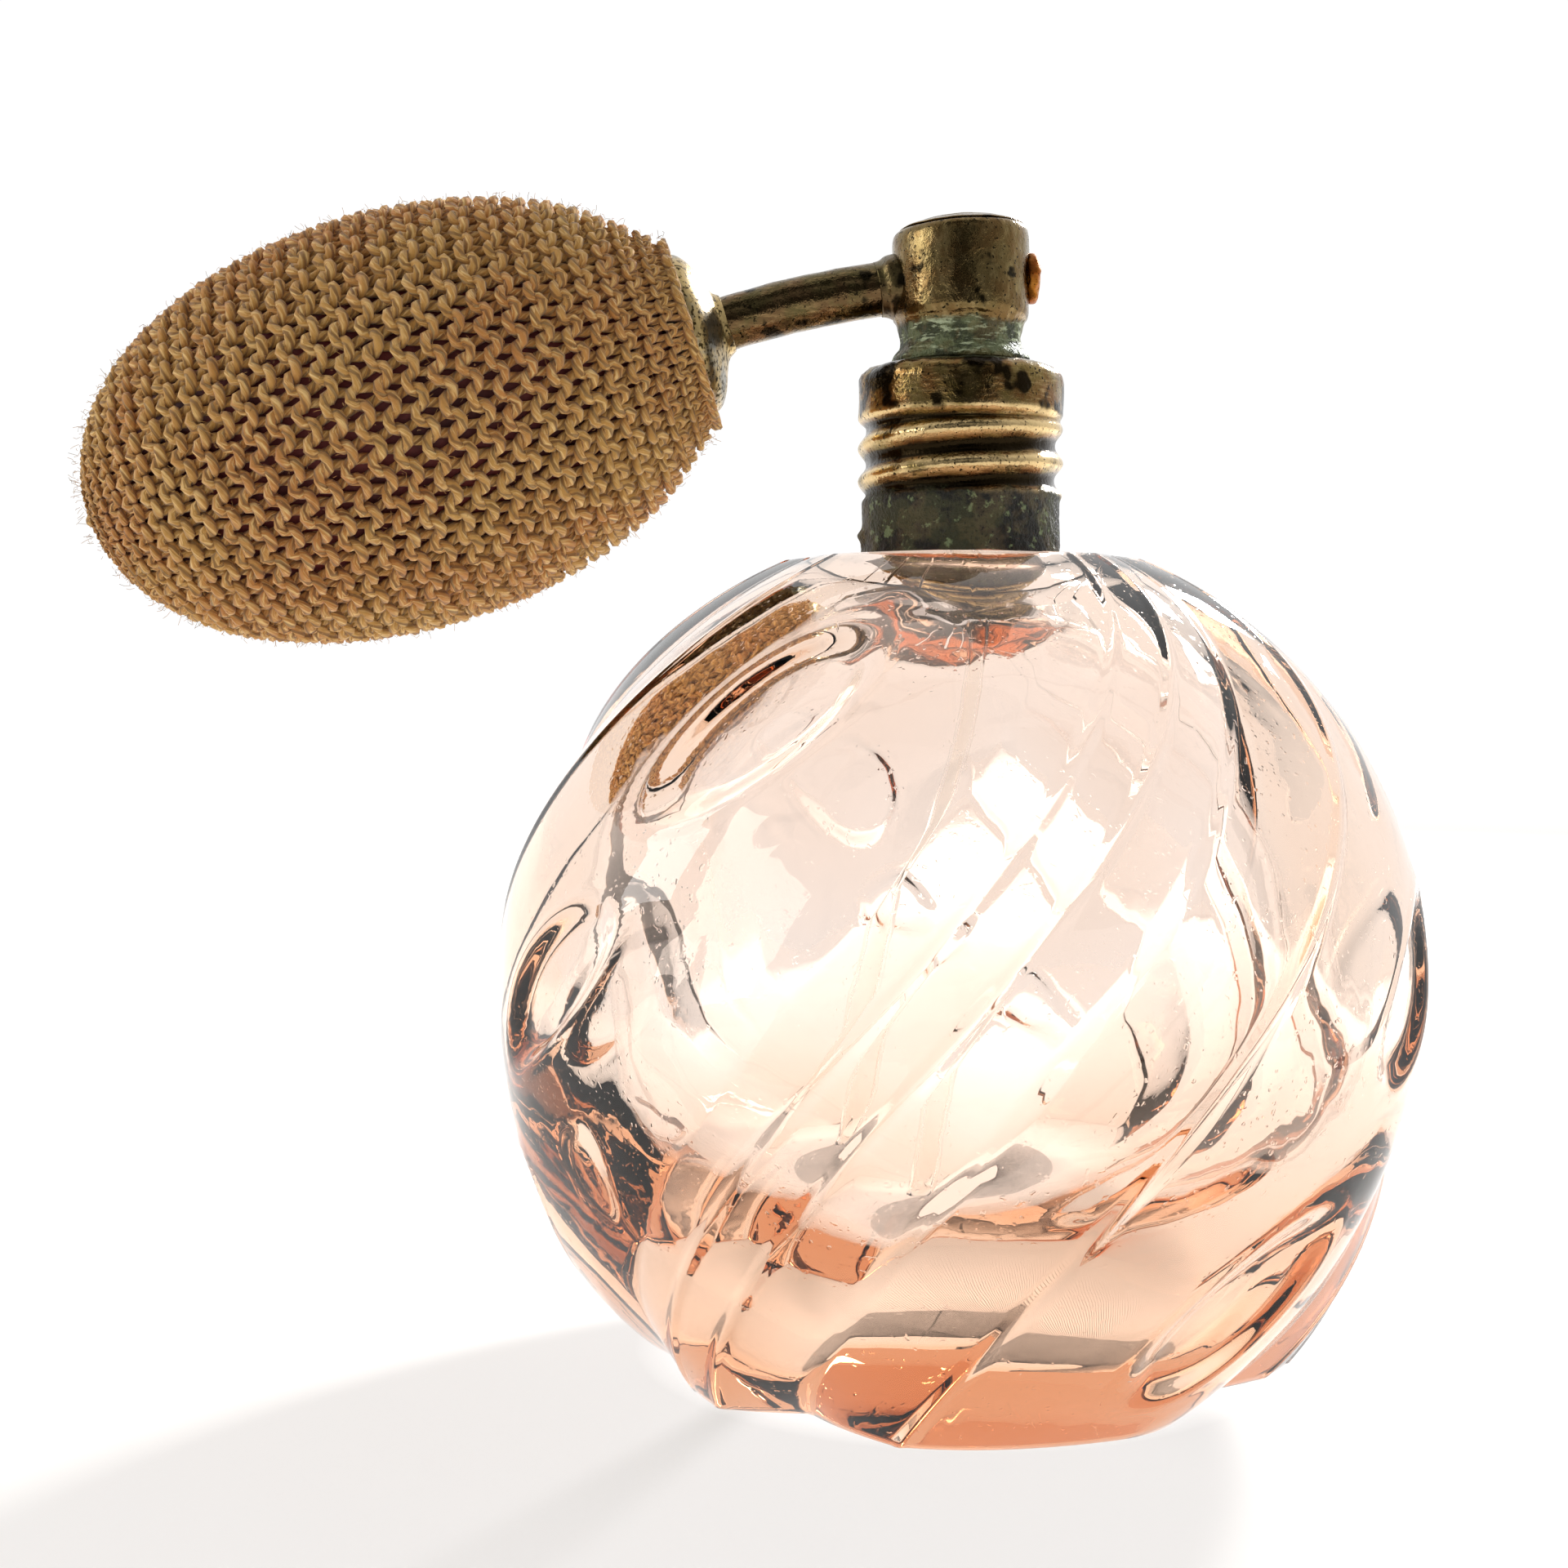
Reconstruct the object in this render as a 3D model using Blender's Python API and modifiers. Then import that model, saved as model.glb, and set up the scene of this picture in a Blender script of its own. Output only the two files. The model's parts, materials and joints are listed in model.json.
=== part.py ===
"""Perfume atomiser: a swirled pressed-glass bottle with a threaded brass collar, a swivelling
spray head on a side arm, and a net-covered rubber bulb that screws onto the arm.

Frame: metres, +Z up, the bottle's axis is Z and its foot stands on Z = 0. The spray leaves
along +X and the bulb hangs on the -X side. Run with: blender --background --python part.py
"""

import math

import bmesh
import bpy
from mathutils import Vector

MM = 0.001
TURN = 2.0 * math.pi

# Clearances between neighbouring pieces
GAP = 0.3 * MM
BAND_GAP = 0.1 * MM
THREAD_GAP = 0.35 * MM

# Bottle body
BODY_RADIUS = 35.0 * MM
WIDEST_Z = 27.3 * MM
FOOT_RADIUS = 25.0 * MM
SHOULDER_Z = 60.2 * MM
SHOULDER_RADIUS = 13.5 * MM
FOOT_EDGE = 0.8 * MM
CAVITY_RADIUS = 29.5 * MM
CAVITY_FLOOR_Z = 7.0 * MM
CAVITY_FLOOR_RADIUS = 13.0 * MM
SHOULDER_GLASS = 3.6 * MM
RING_SIDES = 36

# Swirled panels pressed into the body: three equal groups round the bottle
PANEL_COUNT = 3
TWIST = math.radians(1.46) / MM
# (angle in degrees within a group at the widest height, depth from -1 valley to 0 crest)
PANEL_KEYS = ((-27.7, -1.0), (-6.0, -0.15), (7.0, -1.0), (26.5, 0.1), (59.0, 0.0), (92.3, -1.0))
PANEL_DEPTH = 0.9 * MM
FOOT_DEPTH = 2.4 * MM
FOOT_DEPTH_FADE = 5.0 * MM
THUMBPRINT_ANGLE = 57.0
THUMBPRINT_HEIGHTS = (10.0 * MM, 30.0 * MM, 48.0 * MM)
THUMBPRINT_LENGTH = 13.0 * MM
THUMBPRINT_WIDTH = 11.0 * MM
THUMBPRINT_DEPTH = 0.8 * MM

# Bottle neck and its glass thread
NECK_ROOT_RADIUS = 6.45 * MM
NECK_BORE_RADIUS = 4.6 * MM
NECK_HEIGHT = 11.7 * MM
THREAD_PITCH = 2.6 * MM
THREAD_DEPTH = 0.65 * MM
THREAD_START = 4.4 * MM
THREAD_LENGTH = 6.6 * MM
THREAD_FADE = 0.8 * MM
THREAD_ROWS_PER_PITCH = 4

# Brass screw collar
SHEET = 0.35 * MM
COLLAR_LIFT = 0.4 * MM
COLLAR_HOLE_RADIUS = 4.8 * MM
COLLAR_CORNER = 0.7 * MM

# Washer and stem clamped under the collar
WASHER_THICKNESS = 1.15 * MM
WASHER_RADIUS = 6.6 * MM
STEM_FLANGE_THICKNESS = 0.6 * MM
STEM_SPIGOT_RADIUS = 3.0 * MM
STEM_SPIGOT_LENGTH = 4.6 * MM
STEM_NIPPLE_RADIUS = 1.7 * MM
STEM_NIPPLE_LENGTH = 3.5 * MM
STEM_BORE_RADIUS = 1.0 * MM
STEM_SCREW_RADIUS = 2.0 * MM
STEM_SCREW_LENGTH = 3.0 * MM

# Spray head
HEAD_RADIUS = 5.2 * MM
WAIST_RADIUS = 4.45 * MM
HEAD_HEIGHT = 10.1 * MM
HEAD_BORE_RADIUS = 3.2 * MM
HEAD_BORE_FLOOR = 3.5 * MM
HEAD_EDGE = 0.5 * MM
CAP_RADIUS = 4.75 * MM
CAP_THICKNESS = 0.9 * MM
CAP_PLUG_LENGTH = 1.4 * MM
NOZZLE_HEIGHT = 6.5 * MM
NOZZLE_RADIUS = 1.75 * MM
NOZZLE_PROUD = 0.65 * MM
NOZZLE_SPIGOT_RADIUS = 1.4 * MM
NOZZLE_BORE_RADIUS = 0.85 * MM
NOZZLE_ORIFICE_RADIUS = 0.25 * MM
NOZZLE_FACE = 0.5 * MM
JET_RADIUS = 0.5 * MM
JET_BORE_RADIUS = 0.2 * MM
JET_BLOCK_RADIUS = 1.3 * MM
JET_BLOCK_HEIGHT = 1.7 * MM
RISER_RADIUS = 0.7 * MM
RISER_BORE_RADIUS = 0.35 * MM

# Dip tube hanging in the bottle
DIP_RADIUS = 1.1 * MM
DIP_WALL = 0.35 * MM
DIP_CLEAR_FLOOR = 2.0 * MM
DIP_LEAN = 7.5 * MM
DIP_POINTS = 9
SLEEVE_WALL = 0.6 * MM
SLEEVE_LENGTH = 4.0 * MM

# Air arm: an arc that leaves the head and droops to the bulb
ARM_RADIUS = 2.05 * MM
ARM_WALL = 0.7 * MM
ARM_LEAVE_ANGLE = math.radians(7.8)
ARM_END_ANGLE = math.radians(17.0)
ARM_LENGTH = 13.2 * MM
ARM_HEIGHT = 5.85 * MM
ARM_POINTS = 7
SOLDER_LENGTH = 1.2 * MM
SOLDER_RADIUS = 3.0 * MM

# Screwed joint between the arm and the bulb; S is the distance from the arm's end
NIPPLE_RADIUS = 1.2 * MM
NIPPLE_BORE_RADIUS = 0.6 * MM
NIPPLE_LENGTH = 5.3 * MM
NIPPLE_TAIL_LENGTH = 3.0 * MM
CUP_SHEET = 0.4 * MM
CUP_RADIUS = 6.3 * MM
CUP_DEPTH = 4.2 * MM
CUP_HOLE_RADIUS = 2.35 * MM
CUP_START = 0.35 * MM
SOCKET_FLANGE_RADIUS = 4.6 * MM
SOCKET_FLANGE_START = 1.9 * MM
SOCKET_FLANGE_THICKNESS = 0.6 * MM
SOCKET_RADIUS = 3.2 * MM
SOCKET_LENGTH = 10.4 * MM
CHAMBER_RADIUS = 2.2 * MM
BULB_WASHER_THICKNESS = 0.7 * MM
BULB_WASHER_RADIUS = 5.2 * MM

# Bulb and its knitted net
BULB_HALF_LENGTH = 25.5 * MM
BULB_HALF_WIDTH = 15.8 * MM
NET_THICKNESS = 0.8 * MM
NET_START = 2.6 * MM
NET_HOLE_RADIUS = 1.4 * MM
NET_CORD_RADIUS = 0.35 * MM
KNOT_RADIUS = 1.0 * MM
RUBBER_WALL = 1.5 * MM
RUBBER_END_WALL = 2.1 * MM
RUBBER_TAIL_INSET = 1.8 * MM
EGG_STEPS = 10
STEPS = 28
SMALL_STEPS = 20
TINY_STEPS = 12

# Ball valves
BALL_RADIUS = 1.3 * MM
BALL_LIFT = 0.8 * MM
SEAT_HOLE_RADIUS = 1.0 * MM
SEAT_THICKNESS = 1.0 * MM
INTAKE_RADIUS = 2.8 * MM
INTAKE_LENGTH = 6.4 * MM
INTAKE_FLANGE_RADIUS = 3.6 * MM
INTAKE_FLANGE_THICKNESS = 0.45 * MM
RETAINER_HOLE_RADIUS = 0.8 * MM

# Heights worked out from the sizes above
LIP_Z = SHOULDER_Z + NECK_HEIGHT
WASHER_Z = LIP_Z + GAP
FLANGE_Z = WASHER_Z + WASHER_THICKNESS + GAP
COLLAR_CEILING_Z = FLANGE_Z + STEM_FLANGE_THICKNESS + GAP
COLLAR_TOP_Z = COLLAR_CEILING_Z + SHEET
COLLAR_FOOT_Z = SHOULDER_Z + COLLAR_LIFT
HEAD_Z = COLLAR_TOP_Z + GAP
HEAD_TOP_Z = HEAD_Z + HEAD_HEIGHT
NOZZLE_Z = HEAD_Z + NOZZLE_HEIGHT
ARM_Z = HEAD_Z + ARM_HEIGHT
STEM_FOOT_Z = FLANGE_Z - STEM_SPIGOT_LENGTH - STEM_NIPPLE_LENGTH
WASHER_HOLE_RADIUS = STEM_SPIGOT_RADIUS + GAP

FINISHES = {
    "pressed_glass": ((0.95, 0.80, 0.72), 0.05, 0.0),
    "clear_tube": ((0.92, 0.94, 0.93), 0.08, 0.0),
    "antique_brass": ((0.42, 0.30, 0.13), 0.38, 1.0),
    "pale_gilt": ((0.66, 0.56, 0.38), 0.34, 1.0),
    "ochre_tip": ((0.70, 0.38, 0.10), 0.45, 1.0),
    "solder": ((0.45, 0.42, 0.36), 0.45, 1.0),
    "plain_brass": ((0.72, 0.55, 0.26), 0.35, 1.0),
    "steel_ball": ((0.62, 0.62, 0.62), 0.20, 1.0),
    "cork_seal": ((0.45, 0.30, 0.18), 0.85, 0.0),
    "grey_rubber": ((0.10, 0.10, 0.10), 0.70, 0.0),
    "maroon_rubber": ((0.14, 0.03, 0.02), 0.60, 0.0),
    "cotton_net": ((0.55, 0.33, 0.13), 0.90, 0.0),
}


def clear_scene():
    """Remove every object and make the two collections."""
    for old in list(bpy.data.objects):
        bpy.data.objects.remove(old, do_unlink=True)
    groups = {}
    for name in ("perfume_atomiser", "cutters"):
        groups[name] = bpy.data.collections.new(name)
        bpy.context.scene.collection.children.link(groups[name])
    return groups["perfume_atomiser"], groups["cutters"]


def finish_material(name):
    """Return the named finish as a Principled material."""
    found = bpy.data.materials.get(name)
    if found:
        return found
    colour, roughness, metallic = FINISHES[name]
    made = bpy.data.materials.new(name)
    made.use_nodes = True
    shader = made.node_tree.nodes["Principled BSDF"]
    shader.inputs["Base Color"].default_value = (*colour, 1.0)
    shader.inputs["Roughness"].default_value = roughness
    shader.inputs["Metallic"].default_value = metallic
    return made


def move_to(group, piece):
    """Put a piece in one collection only."""
    for other in list(piece.users_collection):
        other.objects.unlink(piece)
    group.objects.link(piece)


def add_piece(group, name, mesh, finish, parent=None):
    """Link a mesh as a named piece with its finish, smooth shaded."""
    piece = bpy.data.objects.new(name, mesh)
    group.objects.link(piece)
    mesh.materials.append(finish_material(finish))
    mesh.shade_smooth()
    piece.parent = parent
    return piece


def turned(group, name, profile, finish, closed=True, steps=STEPS, parent=None):
    """Turn a profile of (radius, height) points, outer side first and top to bottom."""
    mesh = bpy.data.meshes.new(name)
    points = [(radius, 0.0, height) for radius, height in profile]
    edges = [(i, i + 1) for i in range(len(points) - 1)]
    if closed:
        edges.append((len(points) - 1, 0))
    mesh.from_pydata(points, edges, [])
    piece = add_piece(group, name, mesh, finish, parent)
    screw = piece.modifiers.new("Screw", "SCREW")
    screw.axis = "Z"
    screw.steps = steps
    screw.render_steps = steps
    screw.use_merge_vertices = True
    screw.merge_threshold = 0.000001
    screw.use_smooth_shade = True
    return piece


def tube_profile(radius, bore, low, high):
    """Return the four corners of a plain tube's section."""
    return [(radius, high), (radius, low), (bore, low), (bore, high)]


def loft(group, name, rings, finish, ring_shaped):
    """Skin rings of (x, y, z) points, closing them into a ring or with a flat fan at each end."""
    mesh = bpy.data.meshes.new(name)
    shape = bmesh.new()
    loops = [[shape.verts.new(point) for point in ring] for ring in rings]
    pairs = list(zip(loops, loops[1:]))
    if ring_shaped:
        pairs.append((loops[-1], loops[0]))
    for lower, upper in pairs:
        for i in range(RING_SIDES):
            j = (i + 1) % RING_SIDES
            shape.faces.new((lower[i], lower[j], upper[j], upper[i]))
    if not ring_shaped:
        for loop, flip in ((loops[0], True), (loops[-1], False)):
            centre = shape.verts.new((0.0, 0.0, loop[0].co.z))
            for i in range(RING_SIDES):
                j = (i + 1) % RING_SIDES
                corners = (loop[j], loop[i], centre) if flip else (loop[i], loop[j], centre)
                shape.faces.new(corners)
    shape.to_mesh(mesh)
    shape.free()
    return add_piece(group, name, mesh, finish)


def smooth_step(value):
    """Ease a value from 0 to 1 and hold it outside that range."""
    value = min(max(value, 0.0), 1.0)
    return value * value * (3.0 - 2.0 * value)


def ring_angles():
    """Return the angles of a ring's corners, counted from +X."""
    return [TURN * i / RING_SIDES for i in range(RING_SIDES)]


def ring(radius_at, height):
    """Return one ring of points whose radius depends on the angle and the height."""
    points = []
    for angle in ring_angles():
        radius = radius_at(angle, height)
        points.append((radius * math.cos(angle), radius * math.sin(angle), height))
    return points


# ---------------------------------------------------------------- bottle

def body_radius(height):
    """Return the body's plain radius: two half ellipses that meet at the widest height."""
    if height >= WIDEST_Z:
        reach = (SHOULDER_Z - WIDEST_Z) / math.sqrt(1.0 - (SHOULDER_RADIUS / BODY_RADIUS) ** 2)
    else:
        reach = WIDEST_Z / math.sqrt(1.0 - (FOOT_RADIUS / BODY_RADIUS) ** 2)
    return BODY_RADIUS * math.sqrt(1.0 - ((height - WIDEST_Z) / reach) ** 2)


def panel_relief(degrees):
    """Return the panel section's relief, from -1 in a valley to 0 on a crest."""
    span = 360.0 / PANEL_COUNT
    first = PANEL_KEYS[0][0]
    place = (degrees - first) % span + first
    for (start, low), (end, high) in zip(PANEL_KEYS, PANEL_KEYS[1:]):
        if place <= end:
            share = 0.5 - 0.5 * math.cos(math.pi * (place - start) / (end - start))
            return low + (high - low) * share
    return PANEL_KEYS[-1][1]


def thumbprint_relief(degrees, height):
    """Return the dish of the nearest oval thumbprint in a wide panel."""
    span = 360.0 / PANEL_COUNT
    off = (degrees - THUMBPRINT_ANGLE + span / 2.0) % span - span / 2.0
    across = math.radians(off) * body_radius(height) / (THUMBPRINT_WIDTH / 2.0)
    dish = 0.0
    for centre in THUMBPRINT_HEIGHTS:
        along = (height - centre) / (THUMBPRINT_LENGTH / 2.0)
        dish = max(dish, 1.0 - across * across - along * along)
    return -THUMBPRINT_DEPTH * math.sqrt(dish)


def swirled_radius(angle, height):
    """Return the body's radius with its swirled panels and thumbprints."""
    degrees = math.degrees(angle + math.pi / 2.0 - TWIST * (height - WIDEST_Z))
    plain = body_radius(height)
    depth = PANEL_DEPTH * plain / BODY_RADIUS + FOOT_DEPTH * math.exp(-height / FOOT_DEPTH_FADE)
    return plain + depth * panel_relief(degrees) + thumbprint_relief(degrees, height)


def thread_wave(angle, height):
    """Return the rolled thread's wave, 0 at the root and 1 at the crest."""
    return 0.5 + 0.5 * math.cos(TURN * height / THREAD_PITCH - angle)


def thread_heights(low, high):
    """Return evenly spaced heights that resolve the thread between two levels."""
    count = math.ceil((high - low) / THREAD_PITCH * THREAD_ROWS_PER_PITCH)
    return [low + (high - low) * i / count for i in range(count + 1)]


def neck_radius(angle, height):
    """Return the neck's outer radius, with its thread fading in and out."""
    low = SHOULDER_Z + THREAD_START + THREAD_FADE
    high = low + THREAD_LENGTH - 2.0 * THREAD_FADE
    fade = smooth_step((height - low) / THREAD_FADE + 0.5)
    fade *= smooth_step((high - height) / THREAD_FADE + 0.5)
    return NECK_ROOT_RADIUS + THREAD_DEPTH * fade * thread_wave(angle, height)


def cavity_heights():
    """Return the cavity's heights from under the neck down to its floor."""
    top = SHOULDER_Z - SHOULDER_GLASS
    shares = (0.0, 0.04, 0.13, 0.28, 0.46, 0.65, 0.82, 0.94, 1.0)
    return [top + (CAVITY_FLOOR_Z - top) * share for share in shares]


def cavity_radius(height):
    """Return the cavity's radius: half ellipses inside the body's own."""
    if height >= WIDEST_Z:
        rise = SHOULDER_Z - SHOULDER_GLASS - WIDEST_Z
        end = NECK_BORE_RADIUS + SHOULDER_GLASS
    else:
        rise = WIDEST_Z - CAVITY_FLOOR_Z
        end = CAVITY_FLOOR_RADIUS
    reach = rise / math.sqrt(1.0 - (end / CAVITY_RADIUS) ** 2)
    return CAVITY_RADIUS * math.sqrt(1.0 - ((height - WIDEST_Z) / reach) ** 2)


def build_bottle(group):
    """Build the glass bottle as one wall: foot, swirled body, threaded neck, bore and cavity."""
    rings = [ring(lambda a, z: swirled_radius(a, z) - FOOT_EDGE, 0.0)]
    body_shares = (0.0, 0.05, 0.12, 0.2, 0.3, 0.41, 0.52, 0.62, 0.71, 0.79, 0.86, 0.92, 0.97)
    foot = FOOT_EDGE * 0.6
    for share in body_shares:
        rings.append(ring(swirled_radius, foot + (SHOULDER_Z - foot) * share))
    rings.append(ring(lambda a, z: SHOULDER_RADIUS, SHOULDER_Z))
    rings.append(ring(lambda a, z: NECK_ROOT_RADIUS, SHOULDER_Z))
    low = SHOULDER_Z + THREAD_START
    for height in thread_heights(low, low + THREAD_LENGTH):
        rings.append(ring(neck_radius, height))
    edge = NECK_ROOT_RADIUS - GAP
    rings.append(ring(lambda a, z: NECK_ROOT_RADIUS, LIP_Z - GAP))
    rings.append(ring(lambda a, z: edge, LIP_Z))
    rings.append(ring(lambda a, z: NECK_BORE_RADIUS, LIP_Z))
    rings.append(ring(lambda a, z: NECK_BORE_RADIUS, SHOULDER_Z))
    for height in cavity_heights():
        rings.append(ring(lambda a, z: cavity_radius(z), height))
    return loft(group, "bottle_glass", rings, "pressed_glass", False)


# ---------------------------------------------------------------- collar, washer and stem

def collar_radius(angle, height):
    """Return the collar's outer radius: plain band, rolled thread, plain band."""
    root = NECK_ROOT_RADIUS + THREAD_GAP + SHEET
    crest = root + THREAD_DEPTH
    band = NECK_ROOT_RADIUS + THREAD_DEPTH + BAND_GAP + SHEET
    low = SHOULDER_Z + THREAD_START
    high = low + THREAD_LENGTH
    wave = root + (crest - root) * thread_wave(angle, height)
    lower = smooth_step((height - low) / THREAD_FADE)
    upper = smooth_step((height - high + THREAD_FADE) / THREAD_FADE)
    return crest * upper + (1.0 - upper) * (band + (wave - band) * lower)


def collar_bore(angle, height):
    """Return the collar's inner radius."""
    return collar_radius(angle, height) - SHEET


def build_collar(group):
    """Build the thin rolled brass collar with its turned-in top."""
    low = SHOULDER_Z + THREAD_START
    levels = [COLLAR_FOOT_Z] + thread_heights(low, low + THREAD_LENGTH)
    inner_levels = levels + [COLLAR_CEILING_Z]
    outer_levels = levels + [COLLAR_TOP_Z - COLLAR_CORNER]
    rings = [ring(collar_radius, z) for z in outer_levels]
    rings.append(ring(lambda a, z: collar_radius(a, z) - 0.3 * COLLAR_CORNER,
                      COLLAR_TOP_Z - 0.3 * COLLAR_CORNER))
    rings.append(ring(lambda a, z: collar_radius(a, z) - COLLAR_CORNER, COLLAR_TOP_Z))
    rings.append(ring(lambda a, z: COLLAR_HOLE_RADIUS, COLLAR_TOP_Z))
    rings.append(ring(lambda a, z: COLLAR_HOLE_RADIUS, COLLAR_CEILING_Z))
    rings.extend(ring(collar_bore, z) for z in reversed(inner_levels))
    return loft(group, "screw_collar", rings, "antique_brass", True)


def build_neck_washer(group):
    """Build the seal that lies on the bottle's lip."""
    top = WASHER_Z + WASHER_THICKNESS
    profile = tube_profile(WASHER_RADIUS, WASHER_HOLE_RADIUS, WASHER_Z, top)
    return turned(group, "neck_washer", profile, "cork_seal")


def build_stem(group):
    """Build the flanged stem that the collar clamps and the head screws onto."""
    spigot_z = FLANGE_Z - STEM_SPIGOT_LENGTH
    top = HEAD_Z + STEM_SCREW_LENGTH
    neck = COLLAR_HOLE_RADIUS - GAP
    profile = [
        (STEM_SCREW_RADIUS, top),
        (STEM_SCREW_RADIUS, COLLAR_TOP_Z),
        (neck, COLLAR_TOP_Z),
        (neck, FLANGE_Z + STEM_FLANGE_THICKNESS),
        (WASHER_RADIUS, FLANGE_Z + STEM_FLANGE_THICKNESS),
        (WASHER_RADIUS, FLANGE_Z),
        (STEM_SPIGOT_RADIUS, FLANGE_Z),
        (STEM_SPIGOT_RADIUS, spigot_z),
        (STEM_NIPPLE_RADIUS, spigot_z),
        (STEM_NIPPLE_RADIUS, STEM_FOOT_Z),
        (STEM_BORE_RADIUS, STEM_FOOT_Z),
        (STEM_BORE_RADIUS, top),
    ]
    return turned(group, "head_stem", profile, "plain_brass", steps=SMALL_STEPS)


# ---------------------------------------------------------------- head

def add_cutter(group, name, radius, low_x, high_x, height):
    """Add a round cutter lying along X."""
    bpy.ops.mesh.primitive_cylinder_add(vertices=24, radius=radius, depth=high_x - low_x,
                                        location=((low_x + high_x) / 2.0, 0.0, height),
                                        rotation=(0.0, math.pi / 2.0, 0.0))
    cutter = bpy.context.object
    cutter.name = name
    cutter.display_type = "WIRE"
    cutter.hide_render = True
    move_to(group, cutter)
    return cutter


def cut(piece, cutter):
    """Cut a piece with a cutter."""
    boolean = piece.modifiers.new(cutter.name, "BOOLEAN")
    boolean.operation = "DIFFERENCE"
    boolean.solver = "EXACT"
    boolean.object = cutter


def build_head_body(group, cutters):
    """Build the turned barrel: flared foot, waist, straight body and a stepped bore."""
    foot_bore = STEM_SCREW_RADIUS + GAP
    profile = [
        (HEAD_RADIUS - HEAD_EDGE, HEAD_TOP_Z),
        (HEAD_RADIUS - 0.3 * HEAD_EDGE, HEAD_TOP_Z - 0.3 * HEAD_EDGE),
        (HEAD_RADIUS, HEAD_TOP_Z - HEAD_EDGE),
        (HEAD_RADIUS, HEAD_Z + 2.8 * MM),
        (WAIST_RADIUS + 0.1 * MM, HEAD_Z + 2.0 * MM),
        (WAIST_RADIUS, HEAD_Z + 1.5 * MM),
        (WAIST_RADIUS + 0.15 * MM, HEAD_Z + 1.0 * MM),
        (HEAD_RADIUS, HEAD_Z + 0.45 * MM),
        (HEAD_RADIUS, HEAD_Z),
        (foot_bore, HEAD_Z),
        (foot_bore, HEAD_Z + HEAD_BORE_FLOOR),
        (HEAD_BORE_RADIUS, HEAD_Z + HEAD_BORE_FLOOR),
        (HEAD_BORE_RADIUS, HEAD_TOP_Z),
    ]
    body = turned(group, "head_body", profile, "antique_brass")
    middle = HEAD_BORE_RADIUS / 2.0
    outside = HEAD_RADIUS + 1.0 * MM
    cut(body, add_cutter(cutters, "nozzle_hole", NOZZLE_SPIGOT_RADIUS + GAP, middle, outside,
                         NOZZLE_Z))
    cut(body, add_cutter(cutters, "arm_hole", ARM_RADIUS + GAP, -outside, -middle, ARM_Z))
    return body


def build_head_cap(group):
    """Build the slightly domed disc that closes the head, with its plug."""
    seat = HEAD_TOP_Z + GAP
    top = seat + CAP_THICKNESS
    plug = HEAD_BORE_RADIUS - GAP
    profile = [
        (0.0, top),
        (0.6 * CAP_RADIUS, top - 0.12 * MM),
        (0.9 * CAP_RADIUS, top - 0.35 * MM),
        (CAP_RADIUS, top - 0.6 * MM),
        (CAP_RADIUS, seat),
        (plug, seat),
        (plug, seat - CAP_PLUG_LENGTH),
        (0.0, seat - CAP_PLUG_LENGTH),
    ]
    return turned(group, "head_cap", profile, "antique_brass", closed=False)


def lay_along_x(piece, height):
    """Lay a turned piece with its own Z along +X at a height on the bottle's axis."""
    piece.rotation_euler = (0.0, math.pi / 2.0, 0.0)
    piece.location = (0.0, 0.0, height)


def build_nozzle(group):
    """Build the proud nozzle tip; its distances are counted outwards from the axis."""
    face = HEAD_RADIUS + NOZZLE_PROUD
    back = HEAD_BORE_RADIUS + GAP
    profile = [
        (NOZZLE_RADIUS, face),
        (NOZZLE_RADIUS, HEAD_RADIUS + GAP),
        (NOZZLE_SPIGOT_RADIUS, HEAD_RADIUS + GAP),
        (NOZZLE_SPIGOT_RADIUS, back),
        (NOZZLE_BORE_RADIUS, back),
        (NOZZLE_BORE_RADIUS, face - NOZZLE_FACE),
        (NOZZLE_ORIFICE_RADIUS, face - NOZZLE_FACE),
        (NOZZLE_ORIFICE_RADIUS, face),
    ]
    lay_along_x(turned(group, "nozzle_tip", profile, "ochre_tip", steps=SMALL_STEPS), NOZZLE_Z)


def build_jet(group):
    """Build the liquid's way inside the head: riser, block and the jet in the nozzle."""
    block_low = NOZZLE_Z - JET_BLOCK_HEIGHT / 2.0
    block = [(0.0, block_low + JET_BLOCK_HEIGHT), (JET_BLOCK_RADIUS, block_low + JET_BLOCK_HEIGHT),
             (JET_BLOCK_RADIUS, block_low), (0.0, block_low)]
    turned(group, "jet_block", block, "plain_brass", closed=False, steps=TINY_STEPS)
    jet = tube_profile(JET_RADIUS, JET_BORE_RADIUS, JET_BLOCK_RADIUS + GAP,
                       HEAD_RADIUS + NOZZLE_PROUD - NOZZLE_FACE - GAP)
    lay_along_x(turned(group, "spray_jet", jet, "plain_brass", steps=TINY_STEPS), NOZZLE_Z)
    riser = tube_profile(RISER_RADIUS, RISER_BORE_RADIUS, FLANGE_Z, block_low - GAP)
    turned(group, "liquid_riser", riser, "plain_brass", steps=TINY_STEPS)


# ---------------------------------------------------------------- tubes

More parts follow.
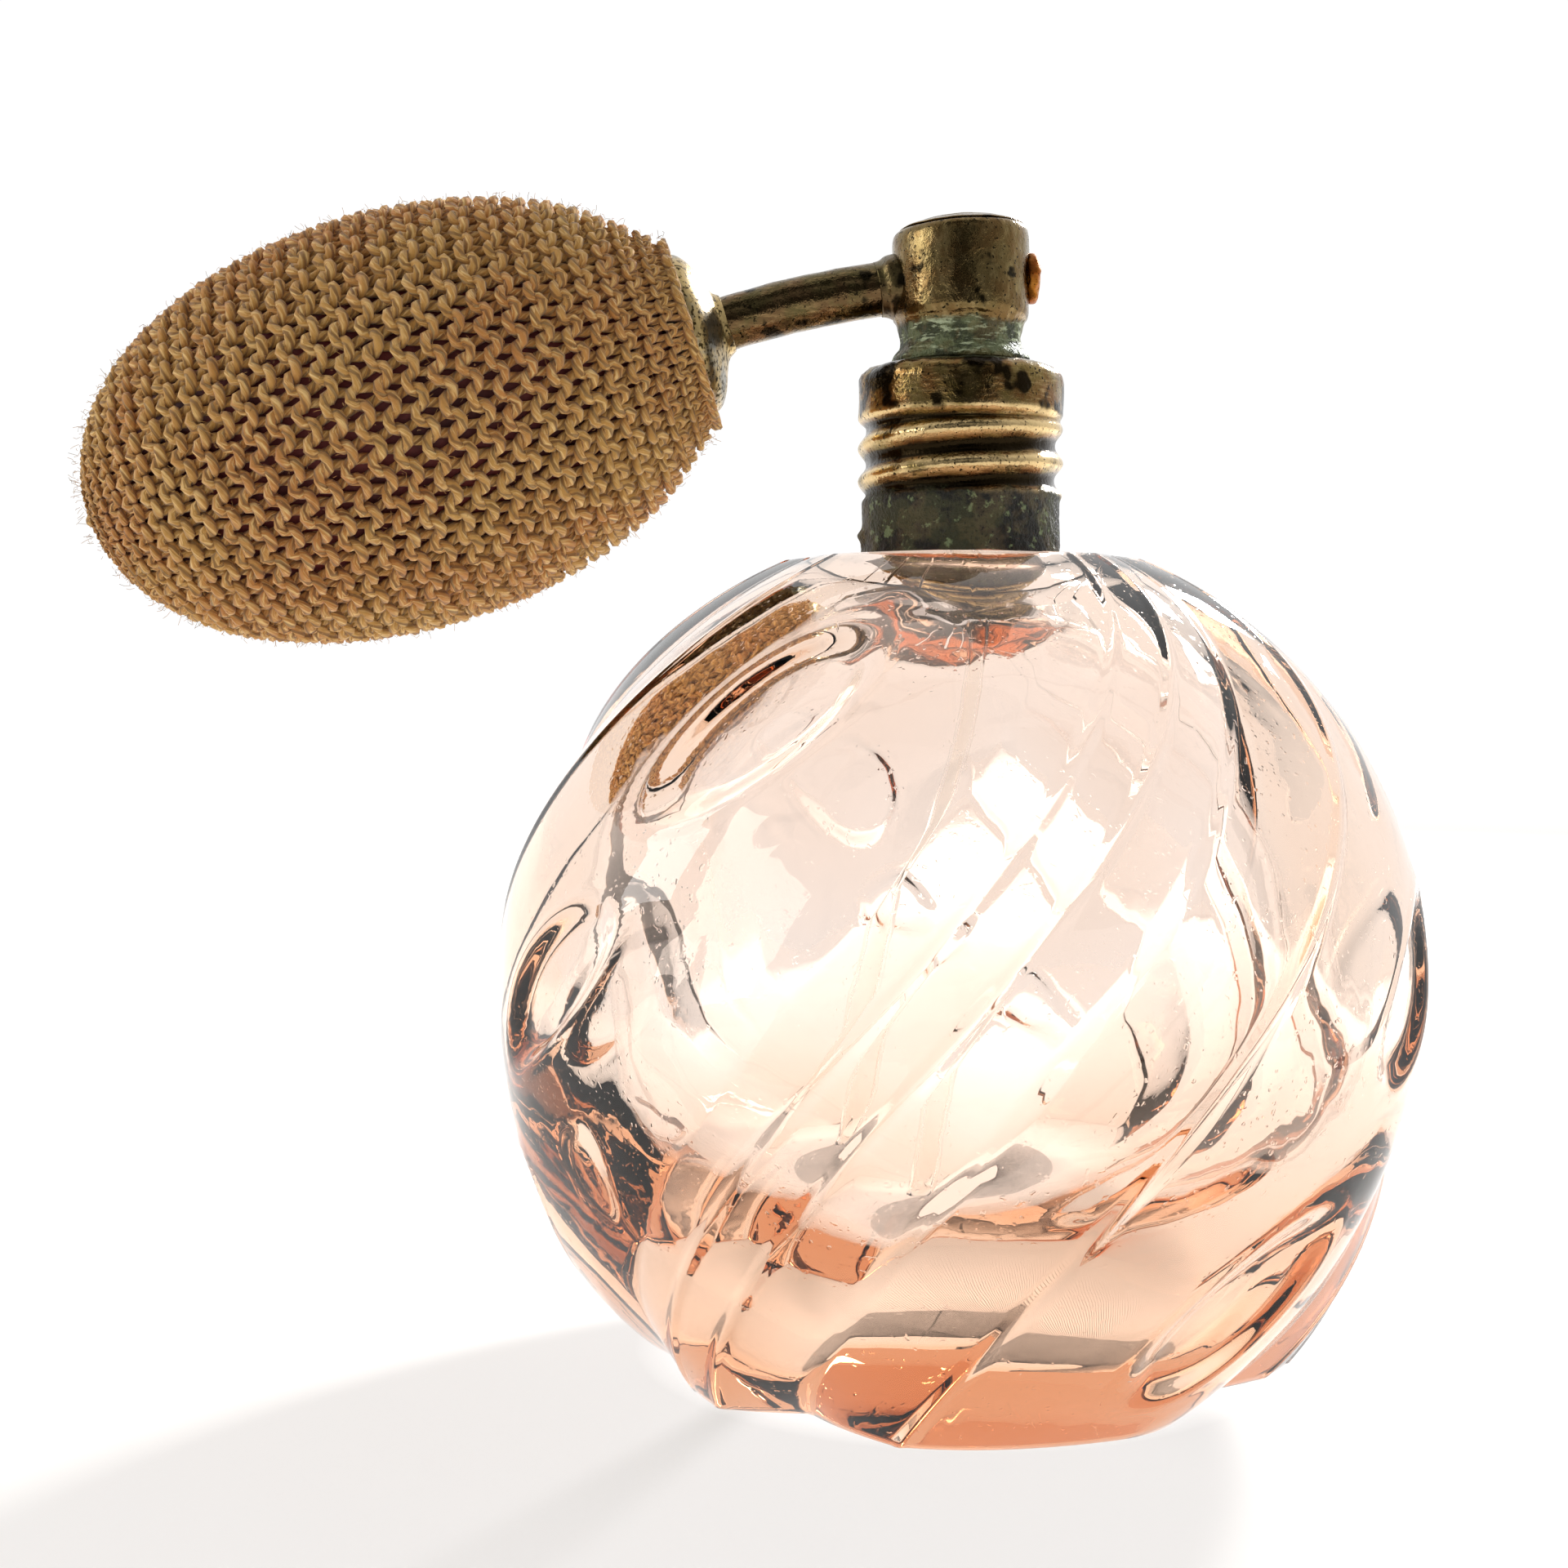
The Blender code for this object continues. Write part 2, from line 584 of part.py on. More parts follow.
def hollow_tube(group, name, points, radius, wall, finish):
    """Bend a tube along points: a bevelled curve made a mesh, then given its wall."""
    curve = bpy.data.curves.new(name, "CURVE")
    curve.dimensions = "3D"
    curve.bevel_depth = radius
    curve.bevel_resolution = 2
    curve.use_fill_caps = False
    spline = curve.splines.new("POLY")
    spline.points.add(len(points) - 1)
    for knot, point in zip(spline.points, points):
        knot.co = (*point, 1.0)
    guide = bpy.data.objects.new(name + "_guide", curve)
    group.objects.link(guide)
    bpy.context.view_layer.update()
    graph = bpy.context.evaluated_depsgraph_get()
    mesh = bpy.data.meshes.new_from_object(guide.evaluated_get(graph))
    bpy.data.objects.remove(guide, do_unlink=True)
    mesh.materials.clear()
    skin = bmesh.new()
    skin.from_mesh(mesh)
    bmesh.ops.remove_doubles(skin, verts=skin.verts, dist=0.000001)
    axis = sum((vert.co for vert in skin.verts), Vector()) / len(skin.verts)
    bmesh.ops.recalc_face_normals(skin, faces=skin.faces)
    outward = sum(face.normal.dot(face.calc_center_median() - axis) for face in skin.faces)
    if outward < 0.0:
        bmesh.ops.reverse_faces(skin, faces=skin.faces)
    skin.to_mesh(mesh)
    skin.free()
    tube = add_piece(group, name, mesh, finish)
    solid = tube.modifiers.new("Wall", "SOLIDIFY")
    solid.thickness = wall
    solid.offset = -1.0
    return tube


def build_dip_tube(group):
    """Build the dip tube, which leans to one side as it nears the floor, and its sleeve."""
    top = STEM_FOOT_Z - GAP
    low = CAVITY_FLOOR_Z + DIP_CLEAR_FLOOR
    points = []
    for i in range(DIP_POINTS):
        share = i / (DIP_POINTS - 1)
        points.append((-DIP_LEAN * share ** 1.7, 0.0, top + (low - top) * share))
    hollow_tube(group, "dip_tube", points, DIP_RADIUS, DIP_WALL, "clear_tube")
    bore = STEM_NIPPLE_RADIUS + GAP
    profile = tube_profile(bore + SLEEVE_WALL, bore, top - SLEEVE_LENGTH / 2.0,
                           top + SLEEVE_LENGTH / 2.0)
    turned(group, "dip_sleeve", profile, "grey_rubber", steps=TINY_STEPS)


def arm_point(share):
    """Return a point of the arm's arc, from 0 at the head's side to 1 at its end."""
    radius = ARM_LENGTH / (ARM_END_ANGLE - ARM_LEAVE_ANGLE)
    angle = ARM_LEAVE_ANGLE + (ARM_END_ANGLE - ARM_LEAVE_ANGLE) * share
    across = radius * (math.sin(angle) - math.sin(ARM_LEAVE_ANGLE))
    drop = radius * (math.cos(ARM_LEAVE_ANGLE) - math.cos(angle))
    return (-HEAD_RADIUS - across, 0.0, ARM_Z - drop)


def build_arm(group):
    """Build the air arm and the ring of solder where it enters the head."""
    lead = HEAD_RADIUS - HEAD_BORE_RADIUS - GAP
    points = [(-HEAD_RADIUS + lead, 0.0, ARM_Z + lead * math.tan(ARM_LEAVE_ANGLE))]
    points += [arm_point(i / (ARM_POINTS - 1)) for i in range(ARM_POINTS)]
    hollow_tube(group, "air_arm", points, ARM_RADIUS, ARM_WALL, "antique_brass")
    bore = ARM_RADIUS + GAP
    start = GAP + SOLDER_RADIUS * math.sin(ARM_LEAVE_ANGLE)
    profile = [
        (bore + 0.25 * MM, start + SOLDER_LENGTH),
        (0.6 * bore + 0.4 * SOLDER_RADIUS, start + 0.5 * SOLDER_LENGTH),
        (SOLDER_RADIUS, start),
        (bore, start),
        (bore, start + SOLDER_LENGTH),
    ]
    solder = turned(group, "arm_solder", profile, "solder", steps=SMALL_STEPS)
    solder.rotation_euler = (0.0, -math.pi / 2.0 - ARM_LEAVE_ANGLE, 0.0)
    solder.location = arm_point(0.0)


# ---------------------------------------------------------------- bulb, along its own axis

def bulb_frame(group):
    """Return the empty at the arm's end whose Z runs along the bulb towards its tail."""
    frame = bpy.data.objects.new("bulb_axis", None)
    group.objects.link(frame)
    frame.location = arm_point(1.0)
    frame.rotation_euler = (0.0, -math.pi / 2.0 - ARM_END_ANGLE, 0.0)
    return frame


def egg_radius(along, inset):
    """Return the bulb's radius at a distance from the arm's end, some way under its skin."""
    share = (along - BULB_HALF_LENGTH) / (BULB_HALF_LENGTH - inset)
    return (BULB_HALF_WIDTH - inset) * math.sqrt(max(0.0, 1.0 - share * share))


def egg_side(inset, start, end):
    """Return the egg's (radius, distance) points between two distances along its axis."""
    reach = BULB_HALF_LENGTH - inset
    first = math.acos((BULB_HALF_LENGTH - start) / reach)
    last = math.acos((BULB_HALF_LENGTH - end) / reach)
    points = []
    for i in range(EGG_STEPS + 1):
        angle = first + (last - first) * i / EGG_STEPS
        along = BULB_HALF_LENGTH - reach * math.cos(angle)
        points.append((egg_radius(along, inset), along))
    return points


def build_nipple(group, frame):
    """Build the screwed nipple in the end of the arm."""
    tail = ARM_RADIUS - ARM_WALL - GAP
    step = CUP_START / 2.0
    profile = [
        (NIPPLE_RADIUS, NIPPLE_LENGTH),
        (NIPPLE_RADIUS, step),
        (tail, step),
        (tail, -NIPPLE_TAIL_LENGTH),
        (NIPPLE_BORE_RADIUS, -NIPPLE_TAIL_LENGTH),
        (NIPPLE_BORE_RADIUS, NIPPLE_LENGTH),
    ]
    turned(group, "arm_nipple", profile, "plain_brass", steps=TINY_STEPS, parent=frame)


def build_ferrule(group, frame):
    """Build the dished cup and the socket that grips the bulb's mouth and holds a valve."""
    dome = egg_radius(1.1 * MM, 0.0)
    outer = [(CUP_RADIUS, CUP_DEPTH), (0.985 * CUP_RADIUS, 2.6 * MM),
             (0.92 * CUP_RADIUS, 1.8 * MM), (dome, 1.1 * MM), (CUP_HOLE_RADIUS, CUP_START)]
    inner = [(radius - 0.5 * CUP_SHEET, along + CUP_SHEET) for radius, along in outer[1:-1]]
    profile = outer + [(CUP_HOLE_RADIUS, CUP_START + CUP_SHEET)] + inner[::-1]
    profile.append((CUP_RADIUS - CUP_SHEET, CUP_DEPTH))
    turned(group, "ferrule_cup", profile, "pale_gilt", parent=frame)
    nose = CUP_HOLE_RADIUS - GAP
    bore = NIPPLE_RADIUS + GAP
    flange_end = SOCKET_FLANGE_START + SOCKET_FLANGE_THICKNESS
    chamber = NIPPLE_LENGTH + GAP
    profile = [
        (SOCKET_RADIUS, SOCKET_LENGTH),
        (SOCKET_RADIUS, flange_end),
        (SOCKET_FLANGE_RADIUS, flange_end),
        (SOCKET_FLANGE_RADIUS, SOCKET_FLANGE_START),
        (nose, SOCKET_FLANGE_START),
        (nose, CUP_START),
        (bore, CUP_START),
        (bore, chamber),
        (CHAMBER_RADIUS, chamber),
        (CHAMBER_RADIUS, SOCKET_LENGTH),
    ]
    turned(group, "ferrule_socket", profile, "plain_brass", steps=SMALL_STEPS, parent=frame)
    start = flange_end + GAP
    washer = tube_profile(BULB_WASHER_RADIUS, SOCKET_RADIUS + GAP, start,
                          start + BULB_WASHER_THICKNESS)
    turned(group, "bulb_washer", washer, "cork_seal", steps=SMALL_STEPS, parent=frame)


def build_rubber_bulb(group, frame):
    """Build the hollow rubber bulb: mouth round the socket, hole for the intake in its tail."""
    mouth = SOCKET_RADIUS + GAP
    front = SOCKET_FLANGE_START + SOCKET_FLANGE_THICKNESS + BULB_WASHER_THICKNESS + 2.0 * GAP
    lip = CUP_RADIUS - CUP_SHEET - GAP
    skin = NET_THICKNESS + GAP
    wall = skin + RUBBER_WALL
    free = CUP_DEPTH + 2.0 * GAP
    tail = 2.0 * BULB_HALF_LENGTH - skin - RUBBER_TAIL_INSET
    hole = INTAKE_RADIUS + GAP
    outer = egg_side(skin, free, tail)[::-1]
    inner = egg_side(wall, front + RUBBER_END_WALL, tail - RUBBER_END_WALL)
    profile = outer + [(lip, free - GAP), (lip, front), (mouth, front),
                       (mouth, front + RUBBER_END_WALL)] + inner
    profile += [(hole, tail - RUBBER_END_WALL), (hole, tail)]
    turned(group, "rubber_bulb", profile, "maroon_rubber", parent=frame)
    return tail


def build_net(group, frame):
    """Build the knitted net as a thin egg-shaped skin, the cord in its edge and its tail knot."""
    tip = 2.0 * BULB_HALF_LENGTH
    over_cup = CUP_RADIUS + GAP + NET_THICKNESS
    hole_angle = math.asin(NET_HOLE_RADIUS / BULB_HALF_WIDTH)
    end = BULB_HALF_LENGTH * (1.0 + math.cos(hole_angle))
    start = CUP_DEPTH + GAP
    outer = egg_side(0.0, start, end)[::-1]
    inner = egg_side(NET_THICKNESS, start, end - NET_THICKNESS)
    inner[-1] = (NET_HOLE_RADIUS, inner[-1][1])
    profile = outer + [(over_cup, NET_START), (over_cup - NET_THICKNESS, NET_START)] + inner
    turned(group, "net_cover", profile, "cotton_net", parent=frame)
    bpy.ops.mesh.primitive_torus_add(major_radius=CUP_RADIUS + GAP + NET_CORD_RADIUS,
                                     minor_radius=NET_CORD_RADIUS, major_segments=32,
                                     minor_segments=6)
    cord = bpy.context.object
    cord.name = "net_edge_cord"
    cord.data.materials.append(finish_material("cotton_net"))
    cord.parent = frame
    cord.location = (0.0, 0.0, NET_START - GAP - NET_CORD_RADIUS)
    move_to(group, cord)
    add_ball(group, frame, "net_tail_knot", KNOT_RADIUS, tip - 0.5 * KNOT_RADIUS, "cotton_net")


def add_ball(group, frame, name, radius, along, finish):
    """Add a ball on the bulb's axis."""
    bpy.ops.mesh.primitive_uv_sphere_add(segments=12, ring_count=8, radius=radius)
    ball = bpy.context.object
    ball.name = name
    ball.data.materials.append(finish_material(finish))
    ball.data.shade_smooth()
    ball.parent = frame
    ball.location = (0.0, 0.0, along)
    move_to(group, ball)


def ball_stand_off():
    """Return how far a ball's centre rests from the rim of its seat."""
    return math.sqrt(BALL_RADIUS ** 2 - SEAT_HOLE_RADIUS ** 2) + GAP


def build_outlet_valve(group, frame):
    """Build the ball valve in the socket that lets air out to the arm."""
    seat = SOCKET_LENGTH - GAP - SEAT_THICKNESS
    profile = tube_profile(CHAMBER_RADIUS - GAP, SEAT_HOLE_RADIUS, seat, seat + SEAT_THICKNESS)
    turned(group, "outlet_valve_seat", profile, "plain_brass", steps=TINY_STEPS, parent=frame)
    add_ball(group, frame, "outlet_valve_ball", BALL_RADIUS, seat - ball_stand_off(), "steel_ball")


def build_intake_valve(group, frame, tail):
    """Build the flanged valve in the bulb's tail that lets air in, with its ball and retainer."""
    flange = tail + GAP
    end = flange + INTAKE_FLANGE_THICKNESS
    seat = flange - SEAT_THICKNESS
    front = flange - INTAKE_LENGTH
    profile = [
        (INTAKE_FLANGE_RADIUS, end),
        (INTAKE_FLANGE_RADIUS, flange),
        (INTAKE_RADIUS, flange),
        (INTAKE_RADIUS, front),
        (CHAMBER_RADIUS, front),
        (CHAMBER_RADIUS, seat),
        (SEAT_HOLE_RADIUS, seat),
        (SEAT_HOLE_RADIUS, end),
    ]
    turned(group, "intake_valve_body", profile, "plain_brass", steps=SMALL_STEPS, parent=frame)
    centre = seat - ball_stand_off()
    add_ball(group, frame, "intake_valve_ball", BALL_RADIUS, centre, "steel_ball")
    low = min(front + GAP, centre - BALL_RADIUS - BALL_LIFT - GAP - SEAT_THICKNESS)
    ring_profile = tube_profile(CHAMBER_RADIUS - GAP, RETAINER_HOLE_RADIUS, low,
                                low + SEAT_THICKNESS)
    turned(group, "intake_retainer", ring_profile, "plain_brass", steps=TINY_STEPS, parent=frame)


def build_bulb(group):
    """Build everything that lies along the bulb's axis."""
    frame = bulb_frame(group)
    build_nipple(group, frame)
    build_ferrule(group, frame)
    build_outlet_valve(group, frame)
    tail = build_rubber_bulb(group, frame)
    build_intake_valve(group, frame, tail)
    build_net(group, frame)


def main():
    """Build the whole atomiser."""
    group, cutters = clear_scene()
    build_bottle(group)
    build_collar(group)
    build_neck_washer(group)
    build_stem(group)
    build_head_body(group, cutters)
    build_head_cap(group)
    build_nozzle(group)
    build_jet(group)
    build_dip_tube(group)
    build_arm(group)
    build_bulb(group)


main()
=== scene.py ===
"""Visual model of a net-bulb perfume atomiser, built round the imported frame.

Lengths are metres. Z runs up the bottle's axis, the spray leaves along +X, and the squeeze
bulb hangs on the -X side. The bulb's pieces are made along their own axis, Z from the end of
the air arm to the tail, and are then laid into place.
"""

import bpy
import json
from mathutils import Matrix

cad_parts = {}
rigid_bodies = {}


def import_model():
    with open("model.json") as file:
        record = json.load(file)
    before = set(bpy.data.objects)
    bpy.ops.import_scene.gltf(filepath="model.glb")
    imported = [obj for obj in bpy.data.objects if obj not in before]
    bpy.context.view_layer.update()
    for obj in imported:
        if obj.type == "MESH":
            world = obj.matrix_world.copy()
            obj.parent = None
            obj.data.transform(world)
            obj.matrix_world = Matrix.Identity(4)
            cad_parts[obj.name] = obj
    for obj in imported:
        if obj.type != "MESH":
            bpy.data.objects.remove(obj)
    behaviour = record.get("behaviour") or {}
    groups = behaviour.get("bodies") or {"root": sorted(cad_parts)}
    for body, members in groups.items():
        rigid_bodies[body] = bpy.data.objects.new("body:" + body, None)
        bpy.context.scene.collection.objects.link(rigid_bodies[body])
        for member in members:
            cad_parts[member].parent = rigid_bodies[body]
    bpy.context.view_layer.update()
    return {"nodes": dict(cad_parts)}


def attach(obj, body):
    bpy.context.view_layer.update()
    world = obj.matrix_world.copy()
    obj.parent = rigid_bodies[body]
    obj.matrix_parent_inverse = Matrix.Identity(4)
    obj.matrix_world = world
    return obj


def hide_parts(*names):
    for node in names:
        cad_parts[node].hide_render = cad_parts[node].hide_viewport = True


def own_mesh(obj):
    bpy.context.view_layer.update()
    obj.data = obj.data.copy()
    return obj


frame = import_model()

import json
import logging
import math
from collections.abc import Callable, Sequence
from dataclasses import dataclass, field
from enum import Enum

import bmesh
import bpy
import numpy as np
from mathutils import Matrix, Vector, noise

LOG = logging.getLogger("atomiser")
MM = 0.001
TURN = 2.0 * math.pi

# Heights shared by the fittings
SHOULDER_Z = 60.2 * MM
LIP_Z = 71.9 * MM
COLLAR_TOP_Z = 74.9 * MM
HEAD_Z = 75.2 * MM
HEAD_TOP_Z = 85.3 * MM
NOZZLE_Z = 81.7 * MM
ARM_Z = 81.05 * MM
HEAD_RADIUS = 5.2 * MM

# Thread rolled into the neck and the collar
THREAD_PITCH = 2.6 * MM
THREAD_LOW = SHOULDER_Z + 4.4 * MM
THREAD_HIGH = THREAD_LOW + 6.6 * MM
THREAD_FADE = 0.8 * MM

# The arm's arc and the bulb's axis that carries on from it
ARM_LEAVE_ANGLE = math.radians(7.8)
ARM_END_ANGLE = math.radians(17.0)
ARM_LENGTH = 13.2 * MM
ARM_BEND = ARM_LENGTH / (ARM_END_ANGLE - ARM_LEAVE_ANGLE)


class Body(Enum):
    """The moving bodies that visible pieces ride on."""

    BOTTLE = "bottle"
    COLLAR = "collar"
    HEAD = "head"
    BULB = "bulb"
    BULB_TAIL = "bulb_tail"


class Wall(Enum):
    """The two sides of a turned wall, kept in a vertex layer."""

    INNER = 0
    OUTER = 1


# ---------------------------------------------------------------- small helpers


def linear(hex_colour: str) -> tuple[float, float, float, float]:
    """Turn an sRGB hex colour into linear RGBA.

    Args:
        hex_colour: "#RRGGBB".

    Returns:
        The linear colour with an alpha of 1.
    """
    channels = [int(hex_colour[i:i + 2], 16) / 255.0 for i in (1, 3, 5)]
    made = [c / 12.92 if c <= 0.04045 else ((c + 0.055) / 1.055) ** 2.4 for c in channels]
    return (*made, 1.0)


def smooth_step(value: float) -> float:
    """Ease a value from 0 to 1 and hold it outside that range."""
    value = min(max(value, 0.0), 1.0)
    return value * value * (3.0 - 2.0 * value)


def arm_point(share: float) -> Vector:
    """Find a point of the arm's arc.

    Args:
        share: 0 at the head's side, 1 at the arm's end.

    Returns:
        The point on the arm's centre line.
    """
    angle = ARM_LEAVE_ANGLE + (ARM_END_ANGLE - ARM_LEAVE_ANGLE) * share
    across = ARM_BEND * (math.sin(angle) - math.sin(ARM_LEAVE_ANGLE))
    drop = ARM_BEND * (math.cos(ARM_LEAVE_ANGLE) - math.cos(angle))
    return Vector((-HEAD_RADIUS - across, 0.0, ARM_Z - drop))


def slanted(place: Vector, angle: float) -> Matrix:
    """Return the matrix that lays a piece's own Z towards -X, drooping by an angle."""
    return Matrix.Translation(place) @ Matrix.Rotation(-math.pi / 2.0 - angle, 4, "Y")


ARM_END = arm_point(1.0)
BULB_PLACE = slanted(ARM_END, ARM_END_ANGLE)


def fill_inputs(tree: bpy.types.NodeTree, node: bpy.types.Node, inputs: dict) -> None:
    """Write values into a node's inputs and link the ones that come from other nodes.

    Args:
        tree: The node tree.
        node: The node that is filled.
        inputs: Input name or index to a value, a socket, or a node (its output in use).
    """
    for key, value in inputs.items():
        if isinstance(value, bpy.types.Node):
            value = next(socket for socket in value.outputs if socket.enabled)
        if isinstance(value, bpy.types.NodeSocket):
            tree.links.new(value, node.inputs[key])
        else:
            node.inputs[key].default_value = value


def add_node(tree: bpy.types.NodeTree, kind: str, settings: dict | None = None,
             inputs: dict | None = None) -> bpy.types.Node:
    """Add one shader node with its settings, values and links.

    Args:
        tree: The node tree.
        kind: The node's type without "ShaderNode".
        settings: Properties of the node.
        inputs: What fill_inputs writes into it.

    Returns:
        The node.
    """
    made = tree.nodes.new("ShaderNode" + kind)
    for name, value in (settings or {}).items():
        setattr(made, name, value)
    fill_inputs(tree, made, inputs or {})
    return made


# Settings that many nodes share
SMOOTH = {"interpolation_type": "SMOOTHSTEP"}
COLOURS = {"data_type": "RGBA"}
NUMBERS = {"data_type": "FLOAT"}
TIMES = {"operation": "MULTIPLY"}
TIMES_PLUS = {"operation": "MULTIPLY_ADD"}
PLUS = {"operation": "ADD"}
LARGER = {"operation": "MAXIMUM"}
LENGTH = {"operation": "LENGTH"}


# ---------------------------------------------------------------- finishes


@dataclass
class Coat:
    """A material under work: its node tree, its shader, and the piece's own metres."""

    tree: bpy.types.NodeTree
    shader: bpy.types.Node
    place: bpy.types.NodeSocket

    def grain(self, size: float, detail: float = 4.0,
              stretch: Sequence[float] = (1.0, 1.0, 1.0)) -> bpy.types.Node:
        """Draw a noise whose lumps have a real size.

        Args:
            size: Size of the largest lumps in metres.
            detail: Octaves of finer lumps.
            stretch: Frequency factors along X, Y and Z.

        Returns:
            The noise node, its factor first.
        """
        turned = add_node(self.tree, "Mapping", None, {"Vector": self.place, "Scale": stretch})
        return add_node(self.tree, "TexNoise", None,
                        {"Vector": turned, "Scale": 1.0 / size, "Detail": detail,
                         "Roughness": 0.6})

    def finish(self, inputs: dict) -> None:
        """Fill the shader's own inputs."""
        fill_inputs(self.tree, self.shader, inputs)


@dataclass(frozen=True)
class Finish:
    """A procedural material named for what the real one is."""

    name: str

    def material(self) -> bpy.types.Material:
        """Return the material, made the first time it is asked for.

        Returns:
            The material.
        """
        found = bpy.data.materials.get(self.name)
        if found:
            return found
        made = bpy.data.materials.new(self.name)
        made.use_nodes = True
        tree = made.node_tree
        self.wire(Coat(tree, tree.nodes["Principled BSDF"],
                       add_node(tree, "TexCoord").outputs["Object"]))
        return made

    def wire(self, coat: Coat) -> None:
        """Wire the finish's pattern into the coat; each finish has its own."""
        raise NotImplementedError(type(coat))


@dataclass(frozen=True)
class PressedGlass(Finish):
    """Peach soda-lime glass pressed in a mould.

    The eye gets clear panels, creases that bend the light, faint ripples where the mould
    chilled the glass, and an orange that shows only where the glass is thick.
    """

    # What a metre of the glass takes out of red, green and blue light
    absorbs: tuple[float, float, float] = (4.0, 20.0, 34.0)
    ripple_size: float = 5.0 * MM
    ripple_depth: float = 0.05 * MM
    pore_size: float = 0.55 * MM
    pore_depth: float = 0.006 * MM

    def wire(self, coat: Coat) -> None:
        """Wire clear refracting glass, its chill ripples and its peach body colour.

        Args:
            coat: The material under work.
        """
        tree = coat.tree
        waves = add_node(tree, "Bump", None, {"Height": coat.grain(self.ripple_size, 1.5),
                                              "Distance": self.ripple_depth})
        pores = add_node(tree, "MapRange", SMOOTH, {"Value": coat.grain(self.pore_size, 1.0),
                                                    "From Min": 0.66, "From Max": 0.78})
        skin = add_node(tree, "Bump", None, {"Height": pores, "Distance": self.pore_depth,
                                             "Normal": waves})
        coat.finish({"Base Color": linear("#FDFBFB"), "Roughness": 0.012, "IOR": 1.51,
                     "Transmission Weight": 1.0, "Normal": skin})
        density = max(self.absorbs) * 1.05
        kept = [1.0 - part / density for part in self.absorbs]
        body = add_node(tree, "VolumeAbsorption", None,
                        {"Color": (*kept, 1.0), "Density": density})
        fill_inputs(tree, tree.nodes["Material Output"], {"Volume": body})


@dataclass(frozen=True)
class ClearTube(Finish):
    """Thin drawn plastic tube.

    Its low index leaves only faint edge lines inside the bottle.
    """

    def wire(self, coat: Coat) -> None:
        """Wire a clear, slightly clouded tube.

        Args:
            coat: The material under work.
        """
        tree = coat.tree
        cloud = add_node(tree, "MapRange", SMOOTH, {"Value": coat.grain(2.0 * MM),
                                                    "From Min": 0.3, "From Max": 0.9})
        rough = add_node(tree, "MapRange", None, {"Value": cloud, "To Min": 0.02,
                                                  "To Max": 0.12})
        coat.finish({"Base Color": linear("#FDFCFA"), "Roughness": rough, "IOR": 1.15,
                     "Transmission Weight": 1.0})


